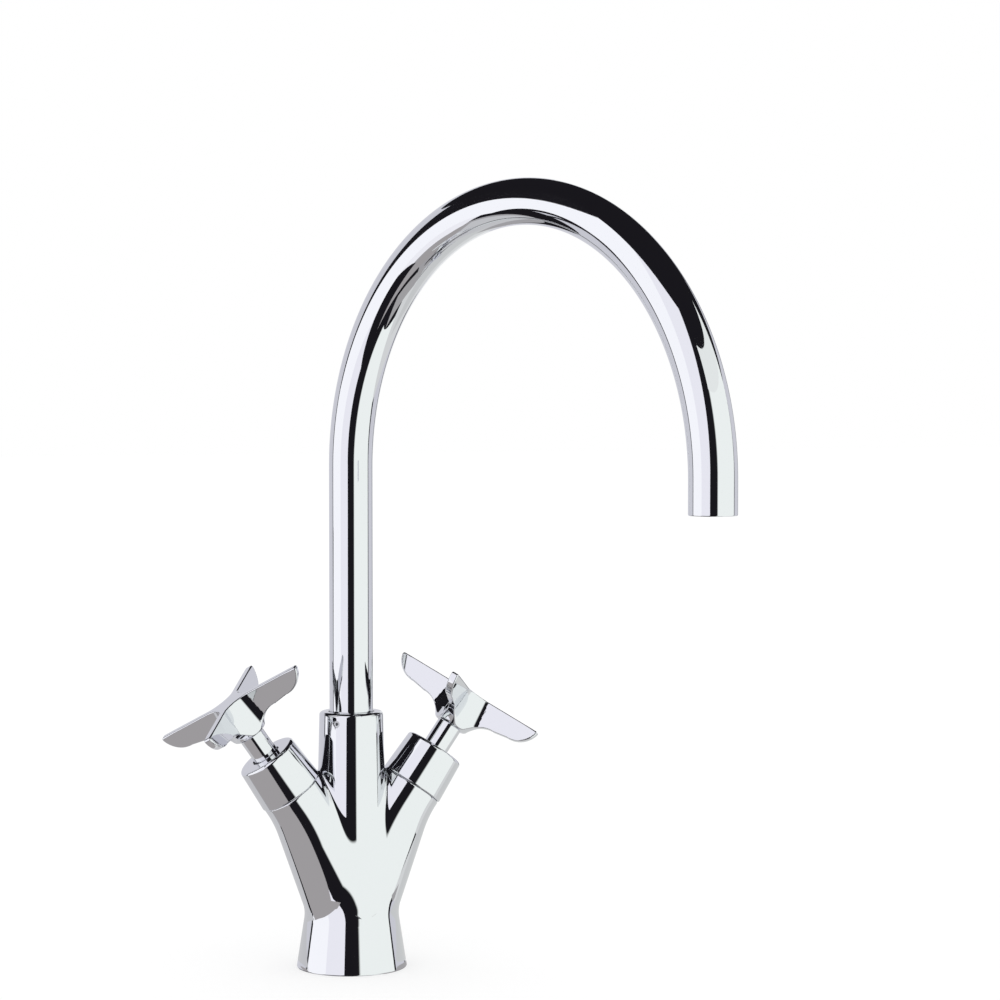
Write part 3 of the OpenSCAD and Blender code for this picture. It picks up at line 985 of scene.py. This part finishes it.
    def turn_neck(self, cut: bmesh.types.BMesh, level: float) -> None:
        """Carries the skin on over the neck's rounded top and down its bore.

        Args:
            cut: The skin.
            level: Height of the cut.
        """
        slope = (self.neck_foot_d - self.neck_d) / 2 / (self.body_h - self.waist_h)
        start = self.neck_d / 2 + slope * (self.body_h - level)
        bore, floor = self.neck_bore_d / 2, self.neck_bore_floor
        corners = [
            Corner(start, level), Corner(self.neck_d / 2, self.body_h, self.neck_edge),
            Corner(bore, self.body_h, self.bore_edge), Corner(bore, floor), Corner(0, floor),
        ]
        carry_on(cut, Matrix.Identity(4), corners)

    def turn_base(self, cut: bmesh.types.BMesh, level: float) -> None:
        """Carries the skin on down the base, round its edge and into the seal's groove and recess.

        Args:
            cut: The skin.
            level: Height of the cut.
        """
        slope = (self.base_d - self.waist_d) / 2 / (self.waist_h - self.base_edge)
        start = self.base_d / 2 - slope * (level - self.base_edge)
        foot = self.base_d / 2 + slope * self.base_edge
        groove_out, groove_in = self.seal_outer_d / 2, self.seal_outer_d / 2 - self.seal_w
        recess, depth = self.recess_d / 2, self.recess_depth
        corners = [
            Corner(start, -level), Corner(foot, 0, self.base_edge), Corner(groove_out, 0),
            Corner(groove_out, -self.seal_t), Corner(groove_in, -self.seal_t), Corner(groove_in, 0),
            Corner(recess, 0, self.bore_edge), Corner(recess, -depth), Corner(0, -depth),
        ]
        carry_on(cut, Matrix.Rotation(math.pi, 4, "X"), corners)

    def drills(self) -> list[bpy.types.Object]:
        """Makes the drills for the stud, the retaining screw, the inlets, the supplies and the valves.

        Returns:
            The drills.
        """
        foot, stud_top = Vector((0, -self.stud_y, -OVERRUN)), self.recess_depth + self.stud_len
        bars = [round_bar(self.stud_d / 2, foot, Vector((0, -self.stud_y, stud_top)))]
        angle, grub = math.radians(self.grub_angle), Vector((0, 0, self.grub_z))
        way = Vector((math.cos(angle), math.sin(angle), 0))
        inner = self.neck_bore_d / 2 - 2 * OVERRUN
        bars.append(round_bar(self.grub_hole_d / 2, grub + way * inner, grub + way * self.neck_d))
        top = self.recess_depth + self.inlet_len
        for side in Side:
            x = side.value * self.inlet_x
            mouth = ARMS.place(side, OVERRUN).translation
            seat = ARMS.place(side, -self.seat_depth).translation
            middle = ARMS.place(side, -self.seat_depth - self.pocket_depth / 2).translation
            floor = ARMS.place(side, -self.seat_depth - self.pocket_depth).translation
            bars += [
                round_bar(self.inlet_d / 2, Vector((x, 0, -OVERRUN)), Vector((x, 0, top))),
                round_bar(self.supply_d / 2, Vector((x, 0, top - OVERRUN)), middle),
                round_bar(self.valve_bore_d / 2, mouth, seat, self.valve_bore_segments),
                round_bar(self.pocket_d / 2, mouth, floor, self.pocket_segments),
            ]
        return bars


@dataclass
class Spout:
    """The bent tube: column, half-turn arch and short tail, swung to one side."""

    tube_d: float = 19.0
    wall: float = 1.2
    foot_h: float = 110.5
    arch_h: float = 218.5
    arch_r: float = 110.0
    tail: float = 13.5
    swing: float = 21.0
    lip: float = 0.5
    foot_lip: float = 0.2
    segments: int = 128
    arch_step: float = 1.5
    lip_step: float = 12.0

    @property
    def column(self) -> float:
        """Length of the straight column below the arch."""
        return self.arch_h - self.foot_h

    @property
    def arch(self) -> float:
        """Length of the arch along the tube's middle."""
        return math.pi * self.arch_r

    def route(self, length: float) -> Station:
        """The tube's centre line.

        Args:
            length: The length along the centre line, from the tube's lower end.

        Returns:
            The station.
        """
        angle = min(max(length - self.column, 0.0) / self.arch_r, math.pi)
        tail = max(length - self.column - self.arch, 0.0)
        x = self.arch_r * (1 - math.cos(angle))
        z = self.foot_h + min(length, self.column) + self.arch_r * math.sin(angle) - tail
        beside, along = np.array((0.0, 1.0, 0.0)), np.array((math.sin(angle), 0.0, math.cos(angle)))
        return Station(np.array((x, 0.0, z)), np.cross(beside, along), beside, along)

    def spans(self) -> list[Span]:
        """Makes the tube's outline, with rounded lips and short steps along the arch.

        Returns:
            The spans in order.
        """
        end = self.column + self.arch + self.tail
        outer, inner = self.tube_d / 2, self.tube_d / 2 - self.wall
        corners = [
            Corner(outer, 0, self.foot_lip), Corner(outer, end, self.lip),
            Corner(inner, end, self.foot_lip), Corner(inner, 0, self.foot_lip),
        ]
        spans: list[Span] = []
        count = round(180.0 / self.arch_step)
        stops = [self.column + self.arch * n / count for n in range(count + 1)]
        for span in outline_spans(corners, True, self.lip_step):
            low, high = span.start[1], span.end[1]
            between = [s for s in stops if min(low, high) < s < max(low, high)]
            marks = [low, *(between if high > low else reversed(between)), high]
            for a, b in zip(marks[:-1], marks[1:]):
                spans.append(Span((span.start[0], a), (span.end[0], b), span.start_normal, span.end_normal))
        return spans

    def build(self) -> bpy.types.Mesh:
        """Makes the tube's mesh."""
        place = Matrix.Rotation(math.radians(self.swing - 90), 4, "Z")
        return turned(self.spans(), self.segments, self.route).mesh("spout_tube_bent", place)


@dataclass
class Handle:
    """A cross handle: four blades with rounded tips that run down into a hub."""

    # Blades, and the webs that join them to the hub
    span: float = 72.5
    blade_t: float = 3.4
    hub_h: float = 17.5
    web_r: float = 11.1
    web_flare: float = 0.21
    web_angle: float = 13.0
    tip_r: float = 10.6
    tip_depth: float = 9.0
    hollow_r: float = 12.0
    blade_run: float = 7.0
    blade_slope: float = 0.16
    tip_blend: float = 0.1

    # Rounded edges
    edge: float = 0.45
    tip_edge: float = 0.65
    tip_edge_from: float = 7.0
    tip_edge_to: float = 1.0
    rim_edge: float = 1.3
    hub_edge: float = 1.2

    # Place on the arm
    low: float = 31.0
    turn: float = -36.0

    # Holes for the stem, the spindle and the screw
    stem_hole_d: float = 11.5
    stem_segments: int = 128
    stem_seat: float = 2.1
    bore_d: float = 7.9
    bore_depth: float = 13.6
    screw_d: float = 3.1
    screw_h: float = 6.0
    screw_angle: float = 135.0

    # Limits and cells of the net
    margin: float = 0.4
    top_margin: float = 0.2
    foot_band: float = 0.8
    top_band: float = 1.2
    plan_stops: tuple[float, ...] = (0.0, 2.6, 13.0)
    plan_cells: tuple[float, ...] = (0.2, 0.4, 0.6)
    level_cells: tuple[float, ...] = (0.2, 0.42, 0.18)

    def skin(self, points: Array) -> Array:
        """Distances to the handle's outside, from the middle of its flat top.

        Args:
            points: Points in the handle's frame, with the blades along x and y.

        Returns:
            The distances, negative inside.
        """
        x, y, z = np.abs(points[:, 0]), np.abs(points[:, 1]), points[:, 2]
        r = np.hypot(x, y)
        half = self.span / 2

        # Seen from above: blades of one thickness, joined by hollow webs that grow downwards
        web_r = self.web_r - z * self.web_flare
        web = self.blade_t / 2 + web_r * math.cos(math.radians(self.web_angle))
        concave = web_r - np.hypot(x - web, y - web)
        plan = np.minimum(np.minimum(x, y) - self.blade_t / 2, np.maximum(np.maximum(x, y) - web, concave))

        # Seen from the side: a flat top, round tips, and an underside that sweeps down to the hub
        tip_x = half - math.sqrt(self.tip_r ** 2 - (self.tip_r - self.tip_depth) ** 2)
        hollow_x = tip_x - self.blade_run
        hollow_z = self.tip_blend - self.tip_depth - self.blade_run * self.blade_slope
        rise = math.hypot(1.0, self.blade_slope)
        under = ((r - tip_x) * self.blade_slope + self.tip_blend - self.tip_depth - z) / rise
        tip = np.hypot(r - tip_x, z - self.tip_r + self.tip_depth) - self.tip_r
        under = np.where(r > tip_x, np.maximum(tip, under - 2 * self.tip_blend), under)
        hollow = self.hollow_r - np.hypot(r - hollow_x, z - hollow_z - self.tip_blend + self.hollow_r)
        below = rounded_max(np.where(r < hollow_x, hollow, under), -self.hub_h - z, self.hub_edge)
        side = rounded_max(below, z, self.rim_edge)

        # The edges are rounder towards the tips
        run = self.tip_edge_from - self.tip_edge_to
        tipward = np.clip((r - half + self.tip_edge_from) / run, 0.0, 1.0)
        edge = self.edge + (self.tip_edge - self.edge) * tipward * tipward * (3.0 - 2.0 * tipward)
        return rounded_max(plan, side, edge)

    def place(self, side: Side) -> Matrix:
        """Where the handle's frame lies on its arm."""
        spin = Matrix.Rotation(math.radians(self.turn), 4, "Z")
        return ARMS.place(side, self.low + self.hub_h) @ spin

    def build(self, side: Side) -> bpy.types.Mesh:
        """Makes the handle's mesh, with its holes for the stem and its screw.

        Args:
            side: Which handle.

        Returns:
            The mesh, in metres.
        """
        bottom = -self.hub_h
        right = grid_lines((*self.plan_stops, self.span / 2 + self.margin), self.plan_cells)
        across = np.concatenate((-right[:0:-1], right))
        levels = (bottom - self.margin, bottom + self.foot_band, -self.top_band, self.top_margin)
        points, faces = net_surface(self.skin, (across, across.copy(), grid_lines(levels, self.level_cells)))
        place = self.place(side)
        blank = bpy.data.meshes.new("handle_blank")
        blank.from_pydata((moved(points, place) * MM).tolist(), [], faces.tolist())

        def hole(diameter: float, start: Vector, end: Vector, segments: int = 64) -> bpy.types.Object:
            """A drill between two places in the handle's frame."""
            return round_bar(diameter / 2, place @ start, place @ end, segments)

        angle = math.radians(self.screw_angle)
        way = Vector((math.cos(angle), math.sin(angle), 0)) * self.span / 2
        under, level = Vector((0, 0, bottom - OVERRUN)), Vector((0, 0, bottom + self.screw_h))
        bars = [
            hole(self.bore_d, under, Vector((0, 0, bottom + self.bore_depth))),
            hole(self.stem_hole_d, under, Vector((0, 0, bottom + self.stem_seat)), self.stem_segments),
            hole(self.screw_d, level, level + way),
        ]
        mesh = drill(blank, bars)
        shade_from_field(mesh, self.skin, place)
        return mesh


@dataclass
class ValveTrim:
    """The tapered cover over a valve and the sleeve round its stem."""

    cover_d: float = 28.8
    cover_top_d: float = 26.8
    cover_len: float = 19.5
    cover_wall: float = 1.5
    cover_roof: float = 2.3
    cover_hole_d: float = 12.8
    cover_edge: float = 1.5
    hole_edge: float = 0.4
    foot_edge: float = 0.45
    ceiling_edge: float = 1.0
    sleeve_d: float = 11.4
    sleeve_bore_d: float = 7.9
    sleeve_low: float = 17.4
    sleeve_high: float = 33.0
    sleeve_edge: float = 0.3
    segments: int = 160

    def cover(self, side: Side) -> bpy.types.Mesh:
        """Makes a cover.

        Args:
            side: Which arm.

        Returns:
            The mesh, in metres.
        """
        foot, top, hole = self.cover_d / 2, self.cover_top_d / 2, self.cover_hole_d / 2
        slope = (foot - top) / (self.cover_len - self.cover_edge)
        roof_r = top - slope * self.cover_edge
        ceiling = self.cover_len - self.cover_roof
        corners = [
            Corner(foot, 0, self.foot_edge), Corner(roof_r, self.cover_len, self.cover_edge),
            Corner(hole, self.cover_len, self.hole_edge), Corner(hole, ceiling, self.foot_edge),
            Corner(top - self.cover_wall, ceiling, self.ceiling_edge),
            Corner(foot - self.cover_wall, 0, self.foot_edge),
        ]
        shell = turned(outline_spans(corners, True), self.segments)
        return shell.mesh(f"{side.label}_cover_turned", ARMS.place(side))

    def sleeve(self, side: Side) -> bpy.types.Mesh:
        """Makes a stem sleeve.

        Args:
            side: Which arm.

        Returns:
            The mesh, in metres.
        """
        outer, inner = self.sleeve_d / 2, self.sleeve_bore_d / 2
        low, high = self.sleeve_low, self.sleeve_high
        around = ((outer, low), (outer, high), (inner, high), (inner, low))
        corners = [Corner(r, z, self.sleeve_edge) for r, z in around]
        shell = turned(outline_spans(corners, True), self.segments)
        return shell.mesh(f"{side.label}_sleeve_turned", ARMS.place(side))


@dataclass
class Tap:
    """The whole tap: its shaped chrome pieces, and the inner nodes in their own finishes."""

    mixer: MixerBody = field(default_factory=MixerBody)
    spout: Spout = field(default_factory=Spout)
    handle: Handle = field(default_factory=Handle)
    trim: ValveTrim = field(default_factory=ValveTrim)

    def build(self) -> None:
        """Builds every shaped piece and dresses every node."""
        looks = {slot: finish.material() for slot, finish in FINISHES.items()}
        chrome = looks[Slot.CHROME]
        self.dress(looks)
        add_piece("mixer_body_cast", self.mixer.build(), chrome, "tap_body", "mixer_body")
        add_piece("spout_tube_bent", self.spout.build(), chrome, "spout", "spout_tube")
        for side in Side:
            name, turning = side.label, f"{side.label}_handle_set"
            cover, sleeve = self.trim.cover(side), self.trim.sleeve(side)
            add_piece(f"{name}_cover_turned", cover, chrome, "tap_body", f"{name}_cover")
            add_piece(f"{name}_sleeve_turned", sleeve, chrome, turning, f"{name}_stem_sleeve")
            add_piece(f"{name}_handle_cross", self.handle.build(side), chrome, turning, f"{name}_handle")

    def dress(self, looks: dict[Slot, bpy.types.Material]) -> None:
        """Gives every node the finish of its material slot.

        Args:
            looks: The materials by slot.
        """
        for part in frame["record"]["subparts"]:
            node = frame["nodes"][part["node"]]
            node.data.materials.clear()
            node.data.materials.append(looks[Slot(part["material_slot"])])
            LOG.info("%s: dressed as %s", part["node"], part["material_slot"])


# The studio


@dataclass(frozen=True)
class View:
    """The photograph's camera."""

    x: float = -382.52
    y: float = -1215.61
    z: float = 258.0
    heading: float = 20.384
    pitch: float = 2.43
    lens: float = 105.48
    sensor: float = 36.0
    nearest: float = 0.05
    farthest: float = 50.0

    def build(self) -> None:
        """Makes the camera and gives it to the scene."""
        data = bpy.data.cameras.new("camera")
        data.lens, data.sensor_width = self.lens, self.sensor
        data.clip_start, data.clip_end = self.nearest, self.farthest
        camera = bpy.data.objects.new("camera", data)
        camera.location = Vector((self.x, self.y, self.z)) * MM
        camera.rotation_euler = (math.radians(90 - self.pitch), 0, -math.radians(self.heading))
        bpy.context.scene.collection.objects.link(camera)
        bpy.context.scene.camera = camera


Spots = tuple[tuple[float, float], ...]

# The near black of the sheets that paint shade into the chrome's reflections, and plain white
NEAR_BLACK: Color = (0.012, 0.011, 0.014)
WHITE: Color = (1.0, 1.0, 1.0)


def upright(left: float, right: float, low: float, high: float) -> Spots:
    """The four corners of a card with upright sides."""
    return (left, low), (right, low), (right, high), (left, high)


def patch(name: str, corners: Sequence[Sequence[float]]) -> bpy.types.Mesh:
    """Makes a mesh of one face.

    Args:
        name: The mesh's name.
        corners: The face's corners, in metres.

    Returns:
        The mesh.
    """
    mesh = bpy.data.meshes.new(name)
    mesh.from_pydata(corners, [], [tuple(range(len(corners)))])
    return mesh


@dataclass(frozen=True)
class Card:
    """A glowing studio card that only shows in polished metal: a painted reflection, which lights no matte
    surface and casts no shadow.

    Its corners are given as azimuth from the camera's side, positive to the right of the picture,
    and elevation, in the order lower left, lower right, upper right, upper left. Its distance from
    the tap is in metres.
    """

    name: str
    corners: Spots
    color: Color
    distance: float = 3.0
    soft: float = 0.0


@dataclass(frozen=True)
class Deck:
    """A glowing patch of the deck that only shows in polished metal: a painted reflection of the ground
    round the tap, in painted shade, greyer than the floor that the camera sees.

    Its corners are given in metres from the tap's axis: how far across, positive to the right of
    the picture, and how far towards the camera.
    """

    name: str
    corners: Spots
    color: Color


@dataclass
class Studio:
    """Pale floor, white surroundings, soft light, and the glowing cards and deck patches that only the
    chrome mirrors: painted reflections.
    """

    view: View = field(default_factory=View)
    light: float = 0.9
    backdrop: float = 1.0
    floor_half: float = 8.0
    floor_color: Color = (0.5, 0.5, 0.5)
    floor_glow: float = 0.58
    deck_drop: float = 0.0005
    centre_h: float = 0.15
    card_cells: int = 24
    room_cells: int = 48
    # The room round the tap, a near-black sheet that only metal shows: painted shade in every reflection
    # that no card covers
    room: Card = Card("room", upright(-180, 180, -90, 90), NEAR_BLACK, 4.0)
    cards: tuple[Card, ...] = (
        # The wall behind the tap in the reflections: painted grey, with a painted bright window and a dark
        # gap of painted shade
        Card("back_wall", ((108.5, -20), (251, -20), (251, 32), (108.5, 20)), (0.70, 0.70, 0.75)),
        Card("back_window", upright(162, 176, -20, 24), (0.92, 0.93, 0.93), 2.9),
        Card("back_gap", upright(149, 157, -20, 24), (0.16, 0.16, 0.17), 2.9),
        # The far floor in the reflections, in painted shade: darker on the left than on the right
        Card("far_floor_left", ((-180, -88), (-68, -88), (-68, -48), (-180, -20)), (0.42, 0.41, 0.42)),
        Card("far_floor_right", upright(90, 180, -88, -20), (0.78, 0.79, 0.78)),
        # Painted reflections of soft lights to the left and right, with brighter and dimmer bands; the right
        # one fades in at its left edge
        Card("left_panel", ((-100, -30), (-20, -30), (-2, 50), (-100, 50)), (1.0, 0.99, 1.05), 2.6),
        Card("left_panel_bright", upright(-104, -53, -30, 50), (1.13, 1.13, 1.16), 2.5),
        Card("left_panel_low", upright(-100, -68, -48, -30), (1.04, 1.03, 1.07), 2.6),
        Card("right_panel", ((15, -60), (92, -60), (112, 41), (18, 41)), (1.03, 1.07, 1.03), 2.6, 0.06),
        Card("right_panel_top", ((18, 27), (109, 27), (112, 41), (18, 41)), (0.94, 0.97, 0.94), 2.5),
        # Near-black sheets on the left that paint dark bands of shade into the reflections
        Card("dark_wedge", ((-106, 3), (-102, 3), (-72, 55), (-145, 55)), NEAR_BLACK, 2.4),
        Card("dark_streak", ((-124, -32), (-121.5, -32), (-102, -2), (-104.5, -2)), NEAR_BLACK, 2.4),
    )
    # Painted reflections of the ground round the tap, in painted shade: darker on the left and at the front
    # than behind
    decks: tuple[Deck, ...] = (
        Deck(
            "deck_left",
            ((-0.27, -0.011), (-0.04, -0.009), (-0.04, 0.24), (-0.12, 0.155), (-0.20, 0.10), (-0.22, 0.04)),
            (0.42, 0.40, 0.40),
        ),
        Deck("deck_front", ((0.02, -0.016), (0.12, -0.03), (0.12, 0.125), (0, 0.125)), (0.43, 0.42, 0.42)),
        Deck("deck_back_left", upright(-0.26, 0, -0.30, -0.019), (0.64, 0.64, 0.65)),
        Deck("deck_back_right", ((0, -0.30), (0.30, -0.30), (0.30, -0.10), (0, -0.012)), (0.68, 0.69, 0.68)),
    )

    def build(self) -> None:
        """Sets up the whole studio."""
        self.view.build()
        self.world()
        self.floor()
        self.hang(self.room, self.room_cells)
        for card in self.cards:
            self.hang(card, self.card_cells)
        for deck in self.decks:
            self.lay(deck)
        bpy.context.scene.view_settings.view_transform = "Standard"

    def direction(self, azimuth: float, elevation: float) -> Vector:
        """A direction from the tap.

        Args:
            azimuth: Degrees from the camera's side, positive to the right of the picture.
            elevation: Degrees above the horizon.

        Returns:
            The unit direction in the tap's frame.
        """
        turn = math.radians(azimuth - self.view.heading)
        level = math.cos(math.radians(elevation))
        return Vector((math.sin(turn) * level, -math.cos(turn) * level, math.sin(math.radians(elevation))))

    def world(self) -> None:
        """Makes the white surroundings, which light the scene and stand behind it."""
        world = bpy.data.worlds.new("white_surroundings")
        world.use_nodes = True
        nodes, links = world.node_tree.nodes, world.node_tree.links
        nodes.clear()
        output, mix = nodes.new("ShaderNodeOutputWorld"), nodes.new("ShaderNodeMixShader")
        for place, strength in enumerate((self.light, self.backdrop), 1):
            white = nodes.new("ShaderNodeBackground")
            white.inputs["Color"].default_value = (*WHITE, 1.0)
            white.inputs["Strength"].default_value = strength
            links.new(white.outputs[0], mix.inputs[place])
        rays = nodes.new("ShaderNodeLightPath")
        seen = rays.outputs["Is Camera Ray"]
        for kind in ("Glossy", "Transmission"):
            either = nodes.new("ShaderNodeMath")
            either.operation = "MAXIMUM"
            links.new(seen, either.inputs[0])
            links.new(rays.outputs[f"Is {kind} Ray"], either.inputs[1])
            seen = either.outputs[0]
        links.new(seen, mix.inputs[0])
        links.new(mix.outputs[0], output.inputs["Surface"])
        bpy.context.scene.world = world

    def stand(self, name: str, mesh: bpy.types.Mesh, material: bpy.types.Material) -> bpy.types.Object:
        """Puts a thing of the studio in the scene.

        Args:
            name: The thing's name.
            mesh: Its mesh, in metres.
            material: Its material.

        Returns:
            The thing.
        """
        mesh.materials.append(material)
        thing = bpy.data.objects.new(name, mesh)
        bpy.context.scene.collection.objects.link(thing)
        return thing

    def floor(self) -> None:
        """Lays the pale floor, which keeps the tap's soft shadow."""
        recipe = Recipe("pale_floor")
        matte = recipe.add("BsdfDiffuse", Color=(*self.floor_color, 1.0))
        glow = recipe.add("Emission", Color=(*WHITE, 1.0), Strength=self.floor_glow)
        both = recipe.nodes.new("ShaderNodeAddShader")
        recipe.join(matte.outputs[0], both.inputs[0])
        recipe.join(glow.outputs[0], both.inputs[1])
        recipe.join(both.outputs[0], recipe.output.inputs["Surface"])
        half = self.floor_half
        corners = [(x, y, 0) for x, y in upright(-half, half, -half, half)]
        self.stand("floor", patch("floor", corners), recipe.material).visible_glossy = False

    def show_in_metal_only(self, name: str, mesh: bpy.types.Mesh, color: Color, soft: float = 0.0) -> None:
        """Puts a glowing card in the scene that only mirrors show: a painted reflection.

        Args:
            name: The card's name.
            mesh: Its mesh.
            color: Its colour.
            soft: Share of the card's width over which its left edge fades in.
        """
        recipe = Recipe(name)
        glow = recipe.add("Emission", Color=(*color, 1.0), Strength=1.0)
        if soft > 0.0:
            place = recipe.nodes.new("ShaderNodeAttribute")
            place.attribute_name = "across"
            fade = recipe.add("MapRange", From_Max=soft)
            fade.interpolation_type = "SMOOTHSTEP"
            recipe.join(place.outputs["Fac"], fade.inputs["Value"])
            recipe.join(fade.outputs["Result"], glow.inputs["Strength"])
        recipe.join(glow.outputs[0], recipe.output.inputs["Surface"])
        card = self.stand(name, mesh, recipe.material)
        card.visible_camera = card.visible_diffuse = card.visible_shadow = False
        card.visible_transmission = card.visible_volume_scatter = False

    def hang(self, card: Card, cells: int) -> None:
        """Hangs one card, a painted reflection, on the sphere of its distance round the tap.

        Args:
            card: The card.
            cells: Into how many cells each of its sides is parted.
        """
        low_left, low_right, high_right, high_left = np.array(card.corners)
        centre = Vector((0, 0, self.centre_h))
        shares = [n / cells for n in range(cells + 1)]
        points = []
        for v in shares:
            left, right = low_left * (1 - v) + high_left * v, low_right * (1 - v) + high_right * v
            for u in shares:
                points.append(centre + self.direction(*(left * (1 - u) + right * u)) * card.distance)
        faces = []
        for row in range(cells):
            for column in range(cells):
                first = row * (cells + 1) + column
                faces.append((first, first + 1, first + cells + 2, first + cells + 1))
        mesh = bpy.data.meshes.new(card.name)
        mesh.from_pydata(points, [], faces)
        mesh.attributes.new("across", "FLOAT", "POINT").data.foreach_set("value", shares * (cells + 1))
        self.show_in_metal_only(card.name, mesh, card.color, card.soft)

    def lay(self, deck: Deck) -> None:
        """Lays one patch of the deck, a painted reflection in painted shade.

        Args:
            deck: The patch.
        """
        towards, right = self.direction(0.0, 0.0), self.direction(90.0, 0.0)
        points = [right * x + towards * y - Vector((0, 0, self.deck_drop)) for x, y in deck.corners]
        self.show_in_metal_only(deck.name, patch(deck.name, points), deck.color)


def main() -> None:
    """Builds the tap and its studio."""
    logging.basicConfig(level=logging.INFO, format="%(message)s")
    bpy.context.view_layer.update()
    Tap().build()
    Studio().build()


if __name__ == "__main__":
    main()
